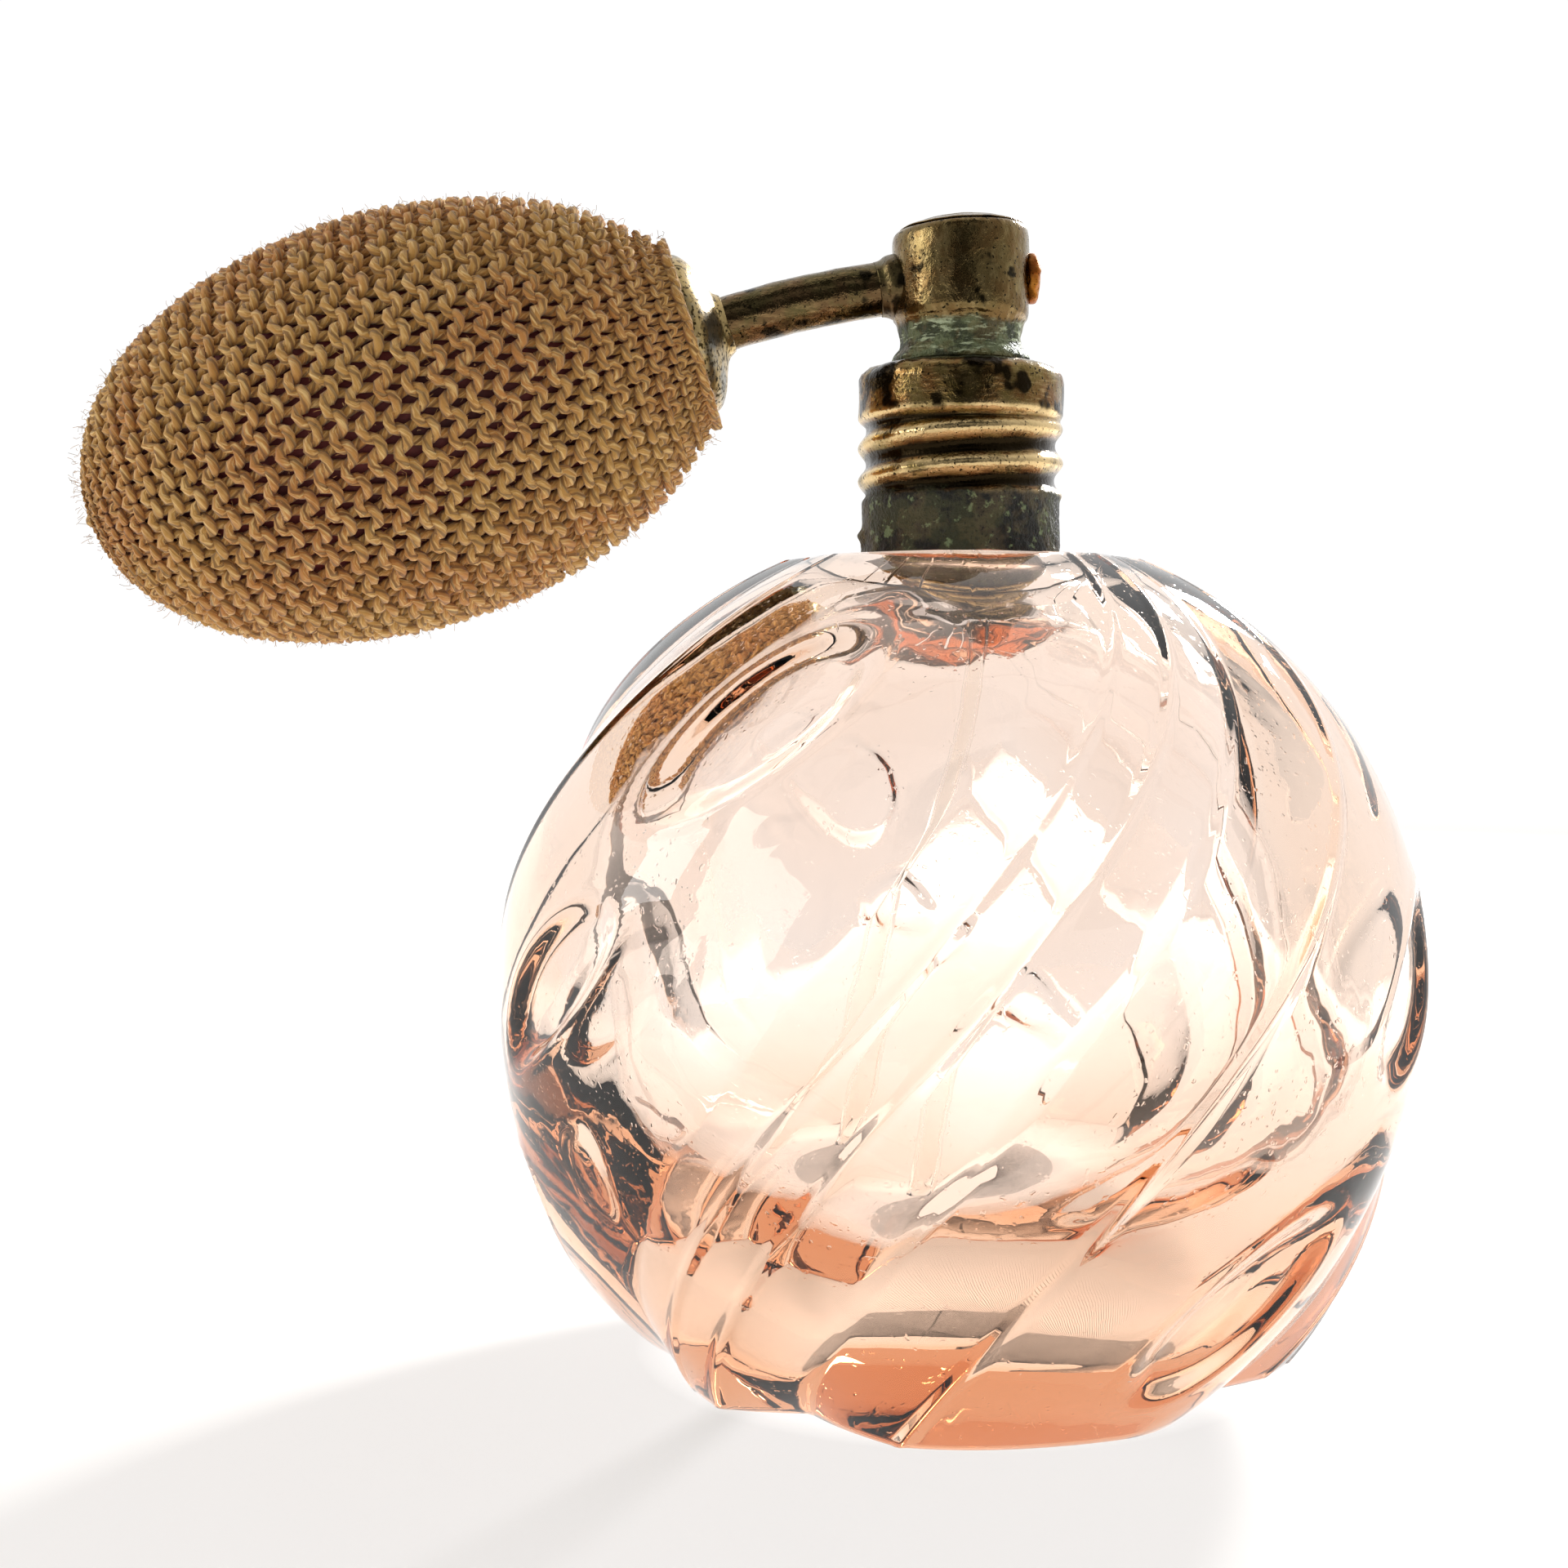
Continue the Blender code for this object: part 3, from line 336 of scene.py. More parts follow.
@dataclass(frozen=True)
class AgedBrass(Finish):
    """Old brass that was lacquered once and has tarnished since.

    The eye gets a brown-gold mottle with black pinholes, pale gold where hands rubbed it, pale
    crests that are partly wear and partly painted highlight, painted shade in the grooves,
    near-black blotches, and a matt crust of verdigris over a band.
    """

    pale_wear_and_highlight: str = "#D6BC88"
    worn: str = "#8E794E"
    dark: str = "#2A2418"
    copper: str = "#8C6840"
    green: str = "#3A4030"
    pale_green: str = "#8C9474"
    soot: str = "#16150E"
    blotch_size: float = 3.2 * MM
    blotch_start: float = 0.56
    # Height above which the large dark blotches grow
    stain_low: float = 0.0
    speck_size: float = 0.30 * MM
    line_size: float = 1.2 * MM
    line_stretch: tuple[float, float, float] = (1.0, 1.0, 7.0)
    scuff: float = 0.45
    # Heights between which verdigris grows, and how far its edge wanders
    green_low: float = 0.0
    green_high: float = 0.0
    green_wander: float = 1.6 * MM
    crumb_size: float = 0.9 * MM
    crumb_stretch: tuple[float, float, float] = (1.0, 1.0, 1.0)
    crumb_start: float = 0.54
    # How far the growth is missing in its bald patches
    bald: float = 0.6
    # Distance from the bottle's axis where the crests' pale gold, partly wear and partly painted
    # highlight, starts and where it is full
    crest_wear_and_highlight_start: float = 1.0
    crest_wear_and_highlight_full: float = 1.1
    # Height above which neither the crests' pale gold nor the grooves' painted shade is drawn
    crest_and_groove_top: float = 71.6 * MM
    # Distance from the axis under which the thread's grooves are darkened with painted shade
    groove_shade: float = 0.0
    groove_shade_ease: float = 0.18 * MM
    roughness: float = 0.30
    crust_roughness: float = 0.85
    pit_depth: float = 0.035 * MM
    dent_depth: float = 0.10 * MM
    crust_depth: float = 0.22 * MM

    def wire(self, coat: Coat) -> None:
        """Wire the bare brass, and the verdigris over it.

        Args:
            coat: The material under work.
        """
        tree = coat.tree
        parts = add_node(tree, "SeparateXYZ", None, {"Vector": coat.place})
        tarnish = coat.grain(self.blotch_size * 0.6, 6.0)
        blotch = coat.grain(self.blotch_size, 3.0)
        specks = coat.grain(self.speck_size, 2.0)
        brass = self.bare_brass(coat, parts, tarnish, blotch, specks)
        growth = self.growth(coat, parts, tarnish, blotch)
        colour = add_node(tree, "Mix", COLOURS,
                          {0: growth, 6: brass, 7: self.moss(coat, tarnish)})
        bare = add_node(tree, "Math", TIMES_PLUS, {0: growth, 1: -0.8, 2: 1.0})
        pinholes = add_node(tree, "MapRange", SMOOTH, {"Value": specks, "From Min": 0.54,
                                                       "From Max": 0.80})
        dull = add_node(tree, "Math", LARGER, {0: growth, 1: pinholes})
        rough = add_node(tree, "MapRange", None,
                         {"Value": dull, "To Min": self.roughness,
                          "To Max": min(self.crust_roughness, self.roughness + 0.35)})
        pits = add_node(tree, "Bump", None, {"Height": specks, "Distance": self.pit_depth})
        dents = add_node(tree, "Bump", None, {"Height": tarnish, "Distance": self.dent_depth,
                                              "Normal": pits})
        lumps = add_node(tree, "Math", TIMES, {0: specks, 1: growth})
        crust = add_node(tree, "Bump", None, {"Height": lumps, "Distance": self.crust_depth,
                                              "Normal": dents})
        coat.finish({"Base Color": colour, "Metallic": bare, "Roughness": rough,
                     "Normal": crust})

    def bare_brass(self, coat: Coat, parts: bpy.types.Node, tarnish: bpy.types.Node,
                   blotch: bpy.types.Node, specks: bpy.types.Node) -> bpy.types.Node:
        """Colour the metal: tarnish, scuffs, crests pale as wear and painted highlight,
        painted shade in the grooves, blotches and pinholes.

        Args:
            coat: The material under work.
            parts: The place's X, Y and Z.
            tarnish: Fine noise.
            blotch: Coarse noise.
            specks: Pinhole noise.

        Returns:
            The colour.
        """
        tree = coat.tree
        aged = add_node(tree, "MapRange", SMOOTH, {"Value": tarnish, "From Min": 0.36,
                                                   "From Max": 0.62})
        colour = add_node(tree, "Mix", COLOURS,
                          {0: aged, 6: linear(self.worn), 7: linear(self.copper)})
        lines = add_node(tree, "MapRange", SMOOTH,
                         {"Value": coat.grain(self.line_size, 5.0, self.line_stretch),
                          "From Min": 0.45, "From Max": 0.80})
        scuffed = add_node(tree, "Math", TIMES, {0: lines, 1: self.scuff})
        colour = add_node(tree, "Mix", COLOURS, {0: scuffed, 6: colour,
                                                 7: linear(self.pale_wear_and_highlight)})
        flat = add_node(tree, "CombineXYZ", None, {"X": parts.outputs[0],
                                                   "Y": parts.outputs[1]})
        from_axis = add_node(tree, "VectorMath", LENGTH, {0: flat})
        threaded = add_node(tree, "MapRange", SMOOTH,
                            {"Value": parts.outputs[2], "From Min": self.crest_and_groove_top,
                             "From Max": self.crest_and_groove_top - 0.5 * MM})
        # Pale gold on the thread's crests: partly wear, partly painted highlight
        crest = add_node(tree, "MapRange", SMOOTH,
                         {"Value": from_axis, "From Min": self.crest_wear_and_highlight_start,
                          "From Max": self.crest_wear_and_highlight_full})
        uneven = add_node(tree, "MapRange", SMOOTH, {"Value": tarnish, "From Min": 0.30,
                                                     "From Max": 0.50})
        crest_wear_and_highlight = add_node(tree, "Math", TIMES, {0: crest, 1: threaded})
        crest_wear_and_highlight = add_node(tree, "Math", TIMES, {0: crest_wear_and_highlight, 1: uneven})
        colour = add_node(tree, "Mix", COLOURS, {0: crest_wear_and_highlight, 6: colour, 7: linear(self.pale_wear_and_highlight)})
        # Painted shade: inside the groove radius the thread's grooves are darkened towards the dark
        # colour
        deep = add_node(tree, "MapRange", SMOOTH,
                        {"Value": from_axis, "From Min": self.groove_shade,
                         "From Max": self.groove_shade - self.groove_shade_ease})
        stained = add_node(tree, "MapRange", SMOOTH,
                           {"Value": blotch, "From Min": self.blotch_start,
                            "From Max": self.blotch_start + 0.07})
        high = add_node(tree, "MapRange", SMOOTH,
                        {"Value": parts.outputs[2], "From Min": self.stain_low - 0.3 * MM,
                         "From Max": self.stain_low + 0.3 * MM})
        pinholes = add_node(tree, "MapRange", SMOOTH, {"Value": specks, "From Min": 0.60,
                                                       "From Max": 0.68})
        for share in (add_node(tree, "Math", TIMES, {0: deep, 1: threaded}),
                      add_node(tree, "Math", TIMES, {0: stained, 1: high}), pinholes):
            colour = add_node(tree, "Mix", COLOURS, {0: share, 6: colour,
                                                     7: linear(self.dark)})
        return colour

    def moss(self, coat: Coat, tarnish: bpy.types.Node) -> bpy.types.Node:
        """Colour the verdigris: green, sooty patches and pale crumbs.

        Args:
            coat: The material under work.
            tarnish: Fine noise.

        Returns:
            The colour.
        """
        sooty = add_node(coat.tree, "MapRange", SMOOTH, {"Value": tarnish, "From Min": 0.44,
                                                         "From Max": 0.54})
        colour = add_node(coat.tree, "Mix", COLOURS,
                          {0: sooty, 6: linear(self.green), 7: linear(self.soot)})
        crumbs = add_node(coat.tree, "MapRange", SMOOTH,
                          {"Value": coat.grain(self.crumb_size, 6.0, self.crumb_stretch),
                           "From Min": self.crumb_start, "From Max": self.crumb_start + 0.08})
        return add_node(coat.tree, "Mix", COLOURS,
                        {0: crumbs, 6: colour, 7: linear(self.pale_green)})

    def growth(self, coat: Coat, parts: bpy.types.Node, tarnish: bpy.types.Node,
               blotch: bpy.types.Node) -> bpy.types.Node:
        """Mask the verdigris: a band of heights with a wandering edge and bald patches.

        Args:
            coat: The material under work.
            parts: The place's X, Y and Z.
            tarnish: Fine noise.
            blotch: Coarse noise.

        Returns:
            The mask.
        """
        tree = coat.tree
        wander = add_node(tree, "Math", TIMES_PLUS, {0: tarnish, 1: self.green_wander,
                                                     2: -0.5 * self.green_wander})
        height = add_node(tree, "Math", PLUS, {0: parts.outputs[2], 1: wander})
        over = add_node(tree, "MapRange", SMOOTH,
                        {"Value": height, "From Min": self.green_low - 0.3 * MM,
                         "From Max": self.green_low + 0.3 * MM})
        under = add_node(tree, "MapRange", SMOOTH,
                         {"Value": height, "From Min": self.green_high + 0.3 * MM,
                          "From Max": self.green_high - 0.3 * MM})
        band = add_node(tree, "Math", TIMES, {0: over, 1: under})
        bald = add_node(tree, "MapRange", SMOOTH, {"Value": blotch, "From Min": 0.50,
                                                   "From Max": 0.44})
        left = add_node(tree, "Math", TIMES_PLUS, {0: bald, 1: -self.bald, 2: 1.0})
        return add_node(tree, "Math", TIMES, {0: band, 1: left})


@dataclass(frozen=True)
class WornGilt(Finish):
    """Thin pale gilding on sheet metal.

    The eye gets pale gold worn through to grey, with fine dark specks.
    """

    gilt: str = "#B89F6C"
    grey: str = "#8C887C"
    speck: str = "#43381F"
    roughness: float = 0.28

    def wire(self, coat: Coat) -> None:
        """Wire gilding, worn grey patches and specks.

        Args:
            coat: The material under work.
        """
        tree = coat.tree
        wear = add_node(tree, "MapRange", SMOOTH, {"Value": coat.grain(3.0 * MM, 5.0),
                                                   "From Min": 0.44, "From Max": 0.60})
        colour = add_node(tree, "Mix", COLOURS,
                          {0: wear, 6: linear(self.gilt), 7: linear(self.grey)})
        specks = coat.grain(0.35 * MM, 3.0)
        spots = add_node(tree, "MapRange", SMOOTH, {"Value": specks, "From Min": 0.50,
                                                    "From Max": 0.62})
        colour = add_node(tree, "Mix", COLOURS, {0: spots, 6: colour, 7: linear(self.speck)})
        rough = add_node(tree, "MapRange", None, {"Value": spots, "To Min": self.roughness,
                                                  "To Max": 0.6})
        pits = add_node(tree, "Bump", None, {"Height": specks, "Distance": 0.03 * MM})
        coat.finish({"Base Color": colour, "Metallic": 1.0, "Roughness": rough,
                     "Normal": pits})


@dataclass(frozen=True)
class PlainMetal(Finish):
    """Metal from the lathe or the polisher.

    The eye gets a clean two-tone metal with faint tool lines.
    """

    colour: str
    shade: str
    roughness: float = 0.30
    line_size: float = 0.5 * MM

    def wire(self, coat: Coat) -> None:
        """Wire a two-tone metal with fine lines.

        Args:
            coat: The material under work.
        """
        tree = coat.tree
        lines = coat.grain(self.line_size, 4.0, (1.0, 1.0, 5.0))
        stain = add_node(tree, "MapRange", SMOOTH, {"Value": coat.grain(2.5 * MM),
                                                    "From Min": 0.40, "From Max": 0.70})
        colour = add_node(tree, "Mix", COLOURS,
                          {0: stain, 6: linear(self.colour), 7: linear(self.shade)})
        rough = add_node(tree, "MapRange", None,
                         {"Value": lines, "To Min": self.roughness - 0.1,
                          "To Max": self.roughness + 0.2})
        cuts = add_node(tree, "Bump", None, {"Height": lines, "Distance": 0.02 * MM})
        coat.finish({"Base Color": colour, "Metallic": 1.0, "Roughness": rough,
                     "Normal": cuts})


@dataclass(frozen=True)
class SoftStuff(Finish):
    """Pressed leather or moulded rubber.

    The eye gets a matt, faintly cloudy surface with a fine grain.
    """

    colour: str
    shade: str
    roughness: float = 0.7
    grain_size: float = 0.4 * MM

    def wire(self, coat: Coat) -> None:
        """Wire a matt, faintly grained surface.

        Args:
            coat: The material under work.
        """
        tree = coat.tree
        grains = coat.grain(self.grain_size, 5.0)
        cloud = add_node(tree, "MapRange", SMOOTH, {"Value": coat.grain(4.0 * MM),
                                                    "From Min": 0.35, "From Max": 0.65})
        colour = add_node(tree, "Mix", COLOURS,
                          {0: cloud, 6: linear(self.colour), 7: linear(self.shade)})
        rough = add_node(tree, "MapRange", None,
                         {"Value": grains, "To Min": self.roughness - 0.1,
                          "To Max": self.roughness + 0.15})
        skin = add_node(tree, "Bump", None, {"Height": grains, "Distance": 0.05 * MM})
        coat.finish({"Base Color": colour, "Roughness": rough, "Normal": skin})


@dataclass(frozen=True)
class PliedCotton(Finish):
    """Two-ply cotton yarn, its plies on the yarn's own UV map.

    The eye gets twisted golden-brown yarn with pale fibres, painted shade in the grooves between
    the plies and a dye that turns orange in places. The fibres are drawn coarser than they are, so
    that they show.
    """

    light: str = "#EAC480"
    middle: str = "#C09048"
    orange: str = "#BC7E3C"
    # Painted shade laid into the grooves between the plies
    deep: str = "#55341A"
    ply_pitch: float = 1.6 * MM
    ply_depth: float = 0.06 * MM
    # Fibres side by side round the yarn, and how often they break along it
    fibre_count: float = 11.0
    fibre_length: float = 1.3 * MM
    fibre_depth: float = 0.09 * MM

    def wire(self, coat: Coat) -> None:
        """Wire the twist of the plies, painted shade in their grooves, loose fibres and uneven dye.

        Args:
            coat: The material under work.
        """
        tree = coat.tree
        # The UV map holds millimetres along the yarn and turns round it
        yarn = add_node(tree, "SeparateXYZ", None,
                        {"Vector": add_node(tree, "TexCoord").outputs["UV"]})
        twist = add_node(tree, "Math", TIMES, {0: yarn.outputs[0], 1: MM / self.ply_pitch})
        turn = add_node(tree, "Math", TIMES_PLUS, {0: yarn.outputs[1], 1: 2.0, 2: twist})
        angle = add_node(tree, "Math", TIMES, {0: turn, 1: TURN})
        ply = add_node(tree, "Math", {"operation": "SINE"}, {0: angle})
        along = add_node(tree, "Math", TIMES, {0: yarn.outputs[0], 1: MM / self.fibre_length})
        around = add_node(tree, "Math", TIMES, {0: turn, 1: 0.5 * self.fibre_count})
        lay = add_node(tree, "CombineXYZ", None, {"X": along, "Y": around})
        fibres = add_node(tree, "TexNoise", None, {"Vector": lay, "Scale": 1.0, "Detail": 3.0})
        dye = add_node(tree, "MapRange", SMOOTH, {"Value": coat.grain(9.0 * MM, 3.0),
                                                  "From Min": 0.40, "From Max": 0.62})
        colour = add_node(tree, "Mix", COLOURS,
                          {0: dye, 6: linear(self.middle), 7: linear(self.orange)})
        pale = add_node(tree, "MapRange", SMOOTH, {"Value": fibres, "From Min": 0.45,
                                                   "From Max": 0.72})
        colour = add_node(tree, "Mix", COLOURS, {0: pale, 6: colour, 7: linear(self.light)})
        # Painted shade: the grooves between the plies are darkened towards the deep colour
        groove_shade = add_node(tree, "MapRange", SMOOTH, {"Value": ply, "From Min": -0.45,
                                                     "From Max": -1.0})
        shaded = add_node(tree, "Math", TIMES, {0: groove_shade, 1: 0.65})
        colour = add_node(tree, "Mix", COLOURS, {0: shaded, 6: colour, 7: linear(self.deep)})
        plies = add_node(tree, "Bump", None, {"Height": ply, "Distance": self.ply_depth})
        skin = add_node(tree, "Bump", None, {"Height": fibres, "Distance": self.fibre_depth,
                                             "Normal": plies})
        coat.finish({"Base Color": colour, "Roughness": 0.88, "Sheen Weight": 0.15,
                     "Sheen Roughness": 0.6, "Normal": skin})


PEACH_GLASS = PressedGlass("pressed_soda_glass_peach")
CLEAR_TUBE = ClearTube("drawn_clear_tube")
# The collar's thread crests are pale as wear and painted highlight, its grooves darkened with
# painted shade
COLLAR_BRASS = AgedBrass("rolled_brass_tarnished", worn="#7C6A3E", copper="#74522E",
                         pale_wear_and_highlight="#D8BC88", dark="#241C10", green="#37371F",
                         pale_green="#6E7A54", soot="#191810", green_low=50.0 * MM,
                         green_high=65.2 * MM, crest_wear_and_highlight_start=7.40 * MM, crest_wear_and_highlight_full=7.70 * MM,
                         groove_shade=7.42 * MM, blotch_size=3.8 * MM, blotch_start=0.50,
                         stain_low=71.0 * MM, crumb_start=0.57, bald=0.10, roughness=0.17)
HEAD_BRASS = AgedBrass("turned_brass_tarnished", worn="#73623E", copper="#6E5634",
                       pale_wear_and_highlight="#B8A272", dark="#262014", line_stretch=(2.0, 2.0, 1.0),
                       green="#6C7450", pale_green="#B2BC98", soot="#3C4229",
                       green_low=50.0 * MM, green_high=78.0 * MM, green_wander=1.1 * MM,
                       crumb_stretch=(0.7, 0.7, 3.0), bald=0.35, blotch_start=0.60,
                       roughness=0.19)
ARM_BRASS = AgedBrass("drawn_brass_tube_dark", worn="#5C5234", copper="#665036",
                      pale_wear_and_highlight="#C0A070", blotch_start=0.54, line_stretch=(1.0, 4.0, 4.0),
                      roughness=0.18)
OCHRE_BRASS = AgedBrass("oxidised_brass_ochre", pale_wear_and_highlight="#D09850", worn="#B0742C",
                        copper="#9A5420", dark="#5A3414", blotch_start=0.68, roughness=0.5)
SOFT_SOLDER = AgedBrass("soft_solder_tarnished", pale_wear_and_highlight="#8E7A54", worn="#5C5234",
                        copper="#5E4C34", blotch_start=0.55, roughness=0.3)
PALE_GILT = WornGilt("worn_gilt_pale")
TURNED_BRASS = PlainMetal("turned_brass_satin", "#D8B878", "#B08A4C")
BALL_STEEL = PlainMetal("bearing_steel_polished", "#CFCFD1", "#A8A8AC", 0.14)
PRESSED_LEATHER = SoftStuff("pressed_leather_seal", "#6E4A2C", "#4A3020", 0.75)
GREY_RUBBER = SoftStuff("moulded_rubber_grey", "#2E2E30", "#222224", 0.65)
MAROON_RUBBER = SoftStuff("moulded_rubber_maroon", "#8A3A34", "#5E2622", 0.60)
COTTON_YARN = PliedCotton("plied_cotton_yarn")

# Finish of each CAD node that stays as it is
NODE_FINISHES: dict[str, Finish] = {
    "neck_washer": PRESSED_LEATHER,
    "head_stem": TURNED_BRASS,
    "spray_jet": TURNED_BRASS,
    "jet_block": TURNED_BRASS,
    "liquid_riser": TURNED_BRASS,
    "dip_sleeve": GREY_RUBBER,
    "arm_nipple": TURNED_BRASS,
    "bulb_washer": PRESSED_LEATHER,
    "ferrule_socket": TURNED_BRASS,
    "outlet_valve_seat": TURNED_BRASS,
    "intake_valve_body": TURNED_BRASS,
    "intake_retainer": TURNED_BRASS,
    "outlet_valve_ball": BALL_STEEL,
    "intake_valve_ball": BALL_STEEL,
}


# ---------------------------------------------------------------- piece making


def finish_piece(name: str, mesh: bpy.types.Mesh, finish: Finish, slot: str, body: Body,
                 *nodes: str) -> bpy.types.Object:
    """Make a mesh a piece: smooth, dressed, riding on its body, standing for its CAD nodes.

    Args:
        name: The piece's name.
        mesh: Its mesh, already in place.
        finish: Its finish.
        slot: The record's material slot; not used.
        body: The body it rides on.
        nodes: The CAD nodes it stands for.

    Returns:
        The piece.
    """
    piece = bpy.data.objects.new(name, mesh)
    bpy.context.scene.collection.objects.link(piece)
    mesh.materials.clear()
    mesh.materials.append(finish.material())
    mesh.shade_smooth()
    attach(piece, body.value)
    if nodes:
        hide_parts(*nodes)
    return piece


def turn_profile(shape: bmesh.types.BMesh, profile: Sequence[tuple[float, float]], steps: int,
                 closed: bool) -> None:
    """Spin a profile of (radius, height) points a full turn about Z into a bmesh.

    Args:
        shape: The bmesh that takes the skin.
        profile: The points in order.
        steps: Steps in the turn.
        closed: True joins the last point to the first.
    """
    layer = shape.verts.layers.int.get("wall") or shape.verts.layers.int.new("wall")
    verts = [shape.verts.new((radius, 0.0, height)) for radius, height in profile]
    for vert in verts:
        vert[layer] = Wall.OUTER.value
    edges = [shape.edges.new(pair) for pair in zip(verts, verts[1:])]
    if closed:
        edges.append(shape.edges.new((verts[-1], verts[0])))
    bmesh.ops.spin(shape, geom=verts + edges, cent=(0.0, 0.0, 0.0), axis=(0.0, 0.0, 1.0),
                   dvec=(0.0, 0.0, 0.0), angle=TURN, steps=steps, use_merge=True,
                   use_duplicate=False)


def turned_mesh(name: str, profile: Sequence[tuple[float, float]], steps: int = 96,
                closed: bool = True, place: Matrix | None = None,
                shaping: Callable[[Vector], Vector] | None = None) -> bpy.types.Mesh:
    """Turn a profile into a closed mesh and lay it in place.

    Args:
        name: The mesh's name.
        profile: (radius, height) points.
        steps: Steps in the turn.
        closed: False for a profile that starts and ends on the axis.
        place: Matrix that lays the piece in place.
        shaping: Moves each vertex after the turn, before it is laid in place.

    Returns:
        The mesh.
    """
    shape = bmesh.new()
    turn_profile(shape, profile, steps, closed)
    bmesh.ops.remove_doubles(shape, verts=shape.verts, dist=0.000002)
    if shaping:
        for vert in shape.verts:
            vert.co = shaping(vert.co)
    bmesh.ops.recalc_face_normals(shape, faces=shape.faces)
    if place:
        bmesh.ops.transform(shape, matrix=place, verts=shape.verts)
    return closed_off(shape, name)


def closed_off(shape: bmesh.types.BMesh, name: str) -> bpy.types.Mesh:
    """Write a bmesh into a new mesh and free it."""
    mesh = bpy.data.meshes.new(name)
    shape.to_mesh(mesh)
    shape.free()
    return mesh


def rounded(profile: Sequence[tuple[float, float]], cuts: int = 3,
            closed: bool = True) -> list[tuple[float, float]]:
    """Round a profile's corners by cutting each corner to thirds a few times.

    Args:
        profile: (radius, height) points.
        cuts: Rounds of cutting.
        closed: False keeps the two end points.

    Returns:
        The finer profile.
    """
    points = [Vector(point) for point in profile]
    for _ in range(cuts):
        pairs = list(zip(points, points[1:] + points[:1] if closed else points[1:]))
        finer = [] if closed else [points[0]]
        for first, second in pairs:
            finer += [first.lerp(second, 0.25), first.lerp(second, 0.75)]
        points = finer if closed else finer + [points[-1]]
    return [(point.x, point.y) for point in points]


def yarn_mesh(name: str, paths: Sequence[np.ndarray], radii: Sequence[np.ndarray] | None,
              radius: float, sides: int, cyclic: bool) -> bpy.types.Mesh:
    """Lay round yarn along paths and give it a UV map: millimetres along, turns around.

    Args:
        name: The mesh's name.
        paths: One array of points a path.
        radii: One array of thickness factors a path, or None.
        radius: The yarn's radius.
        sides: 4, 6 or 8 sides round the yarn.
        cyclic: True closes each path.

    Returns:
        The mesh.
    """
    curve = bpy.data.curves.new(name, "CURVE")
    curve.dimensions = "3D"
    curve.bevel_depth = radius
    curve.bevel_resolution = sides // 2 - 2
    curve.use_fill_caps = True
    for index, path in enumerate(paths):
        spline = curve.splines.new("POLY")
        spline.points.add(len(path) - 1)
        spline.points.foreach_set("co", np.hstack([path, np.ones((len(path), 1))]).ravel())
        if radii is not None:
            spline.points.foreach_set("radius", radii[index])
        spline.use_cyclic_u = cyclic
        spline.use_smooth = True
    guide = bpy.data.objects.new(name + "_guide", curve)
    bpy.context.scene.collection.objects.link(guide)
    graph = bpy.context.evaluated_depsgraph_get()
    mesh = bpy.data.meshes.new_from_object(guide.evaluated_get(graph))
    bpy.data.objects.remove(guide, do_unlink=True)
    for old in list(mesh.uv_layers):
        mesh.uv_layers.remove(old)
    count = len(mesh.vertices)
    turns, along = np.zeros(count), np.zeros(count)
    start = 0
    for path in paths:
        ends = np.vstack([path, path[:1]]) if cyclic else path
        steps = np.linalg.norm(np.diff(ends, axis=0), axis=1)
        run = np.concatenate([[0.0], np.cumsum(steps)])[:len(path)] / MM
        size = len(path) * sides
        turns[start:start + size] = np.tile(np.arange(sides) / sides, len(path))
        along[start:start + size] = np.repeat(run, sides)
        start += size
    corners = np.empty(len(mesh.loops), dtype=np.int32)
    mesh.loops.foreach_get("vertex_index", corners)
    totals = np.empty(len(mesh.polygons), dtype=np.int32)
    mesh.polygons.foreach_get("loop_total", totals)
    faces = np.repeat(np.arange(len(totals)), totals)
    around, length = turns[corners], along[corners]
    # A face across the seam counts its low corners one turn further on
    highest = np.full(len(totals), -1.0)
    np.maximum.at(highest, faces, around)
    around = np.where(highest[faces] - around > 0.5, around + 1.0, around)
    furthest = np.full(len(totals), -1.0)
    np.maximum.at(furthest, faces, length)
    longest = furthest[faces] - length
    length = np.where(longest > 5.0, furthest[faces] + 0.1, length)
    uv = mesh.uv_layers.new(name="yarn")
    uv.data.foreach_set("uv", np.column_stack([length, around]).ravel())
    return mesh


# ---------------------------------------------------------------- bottle


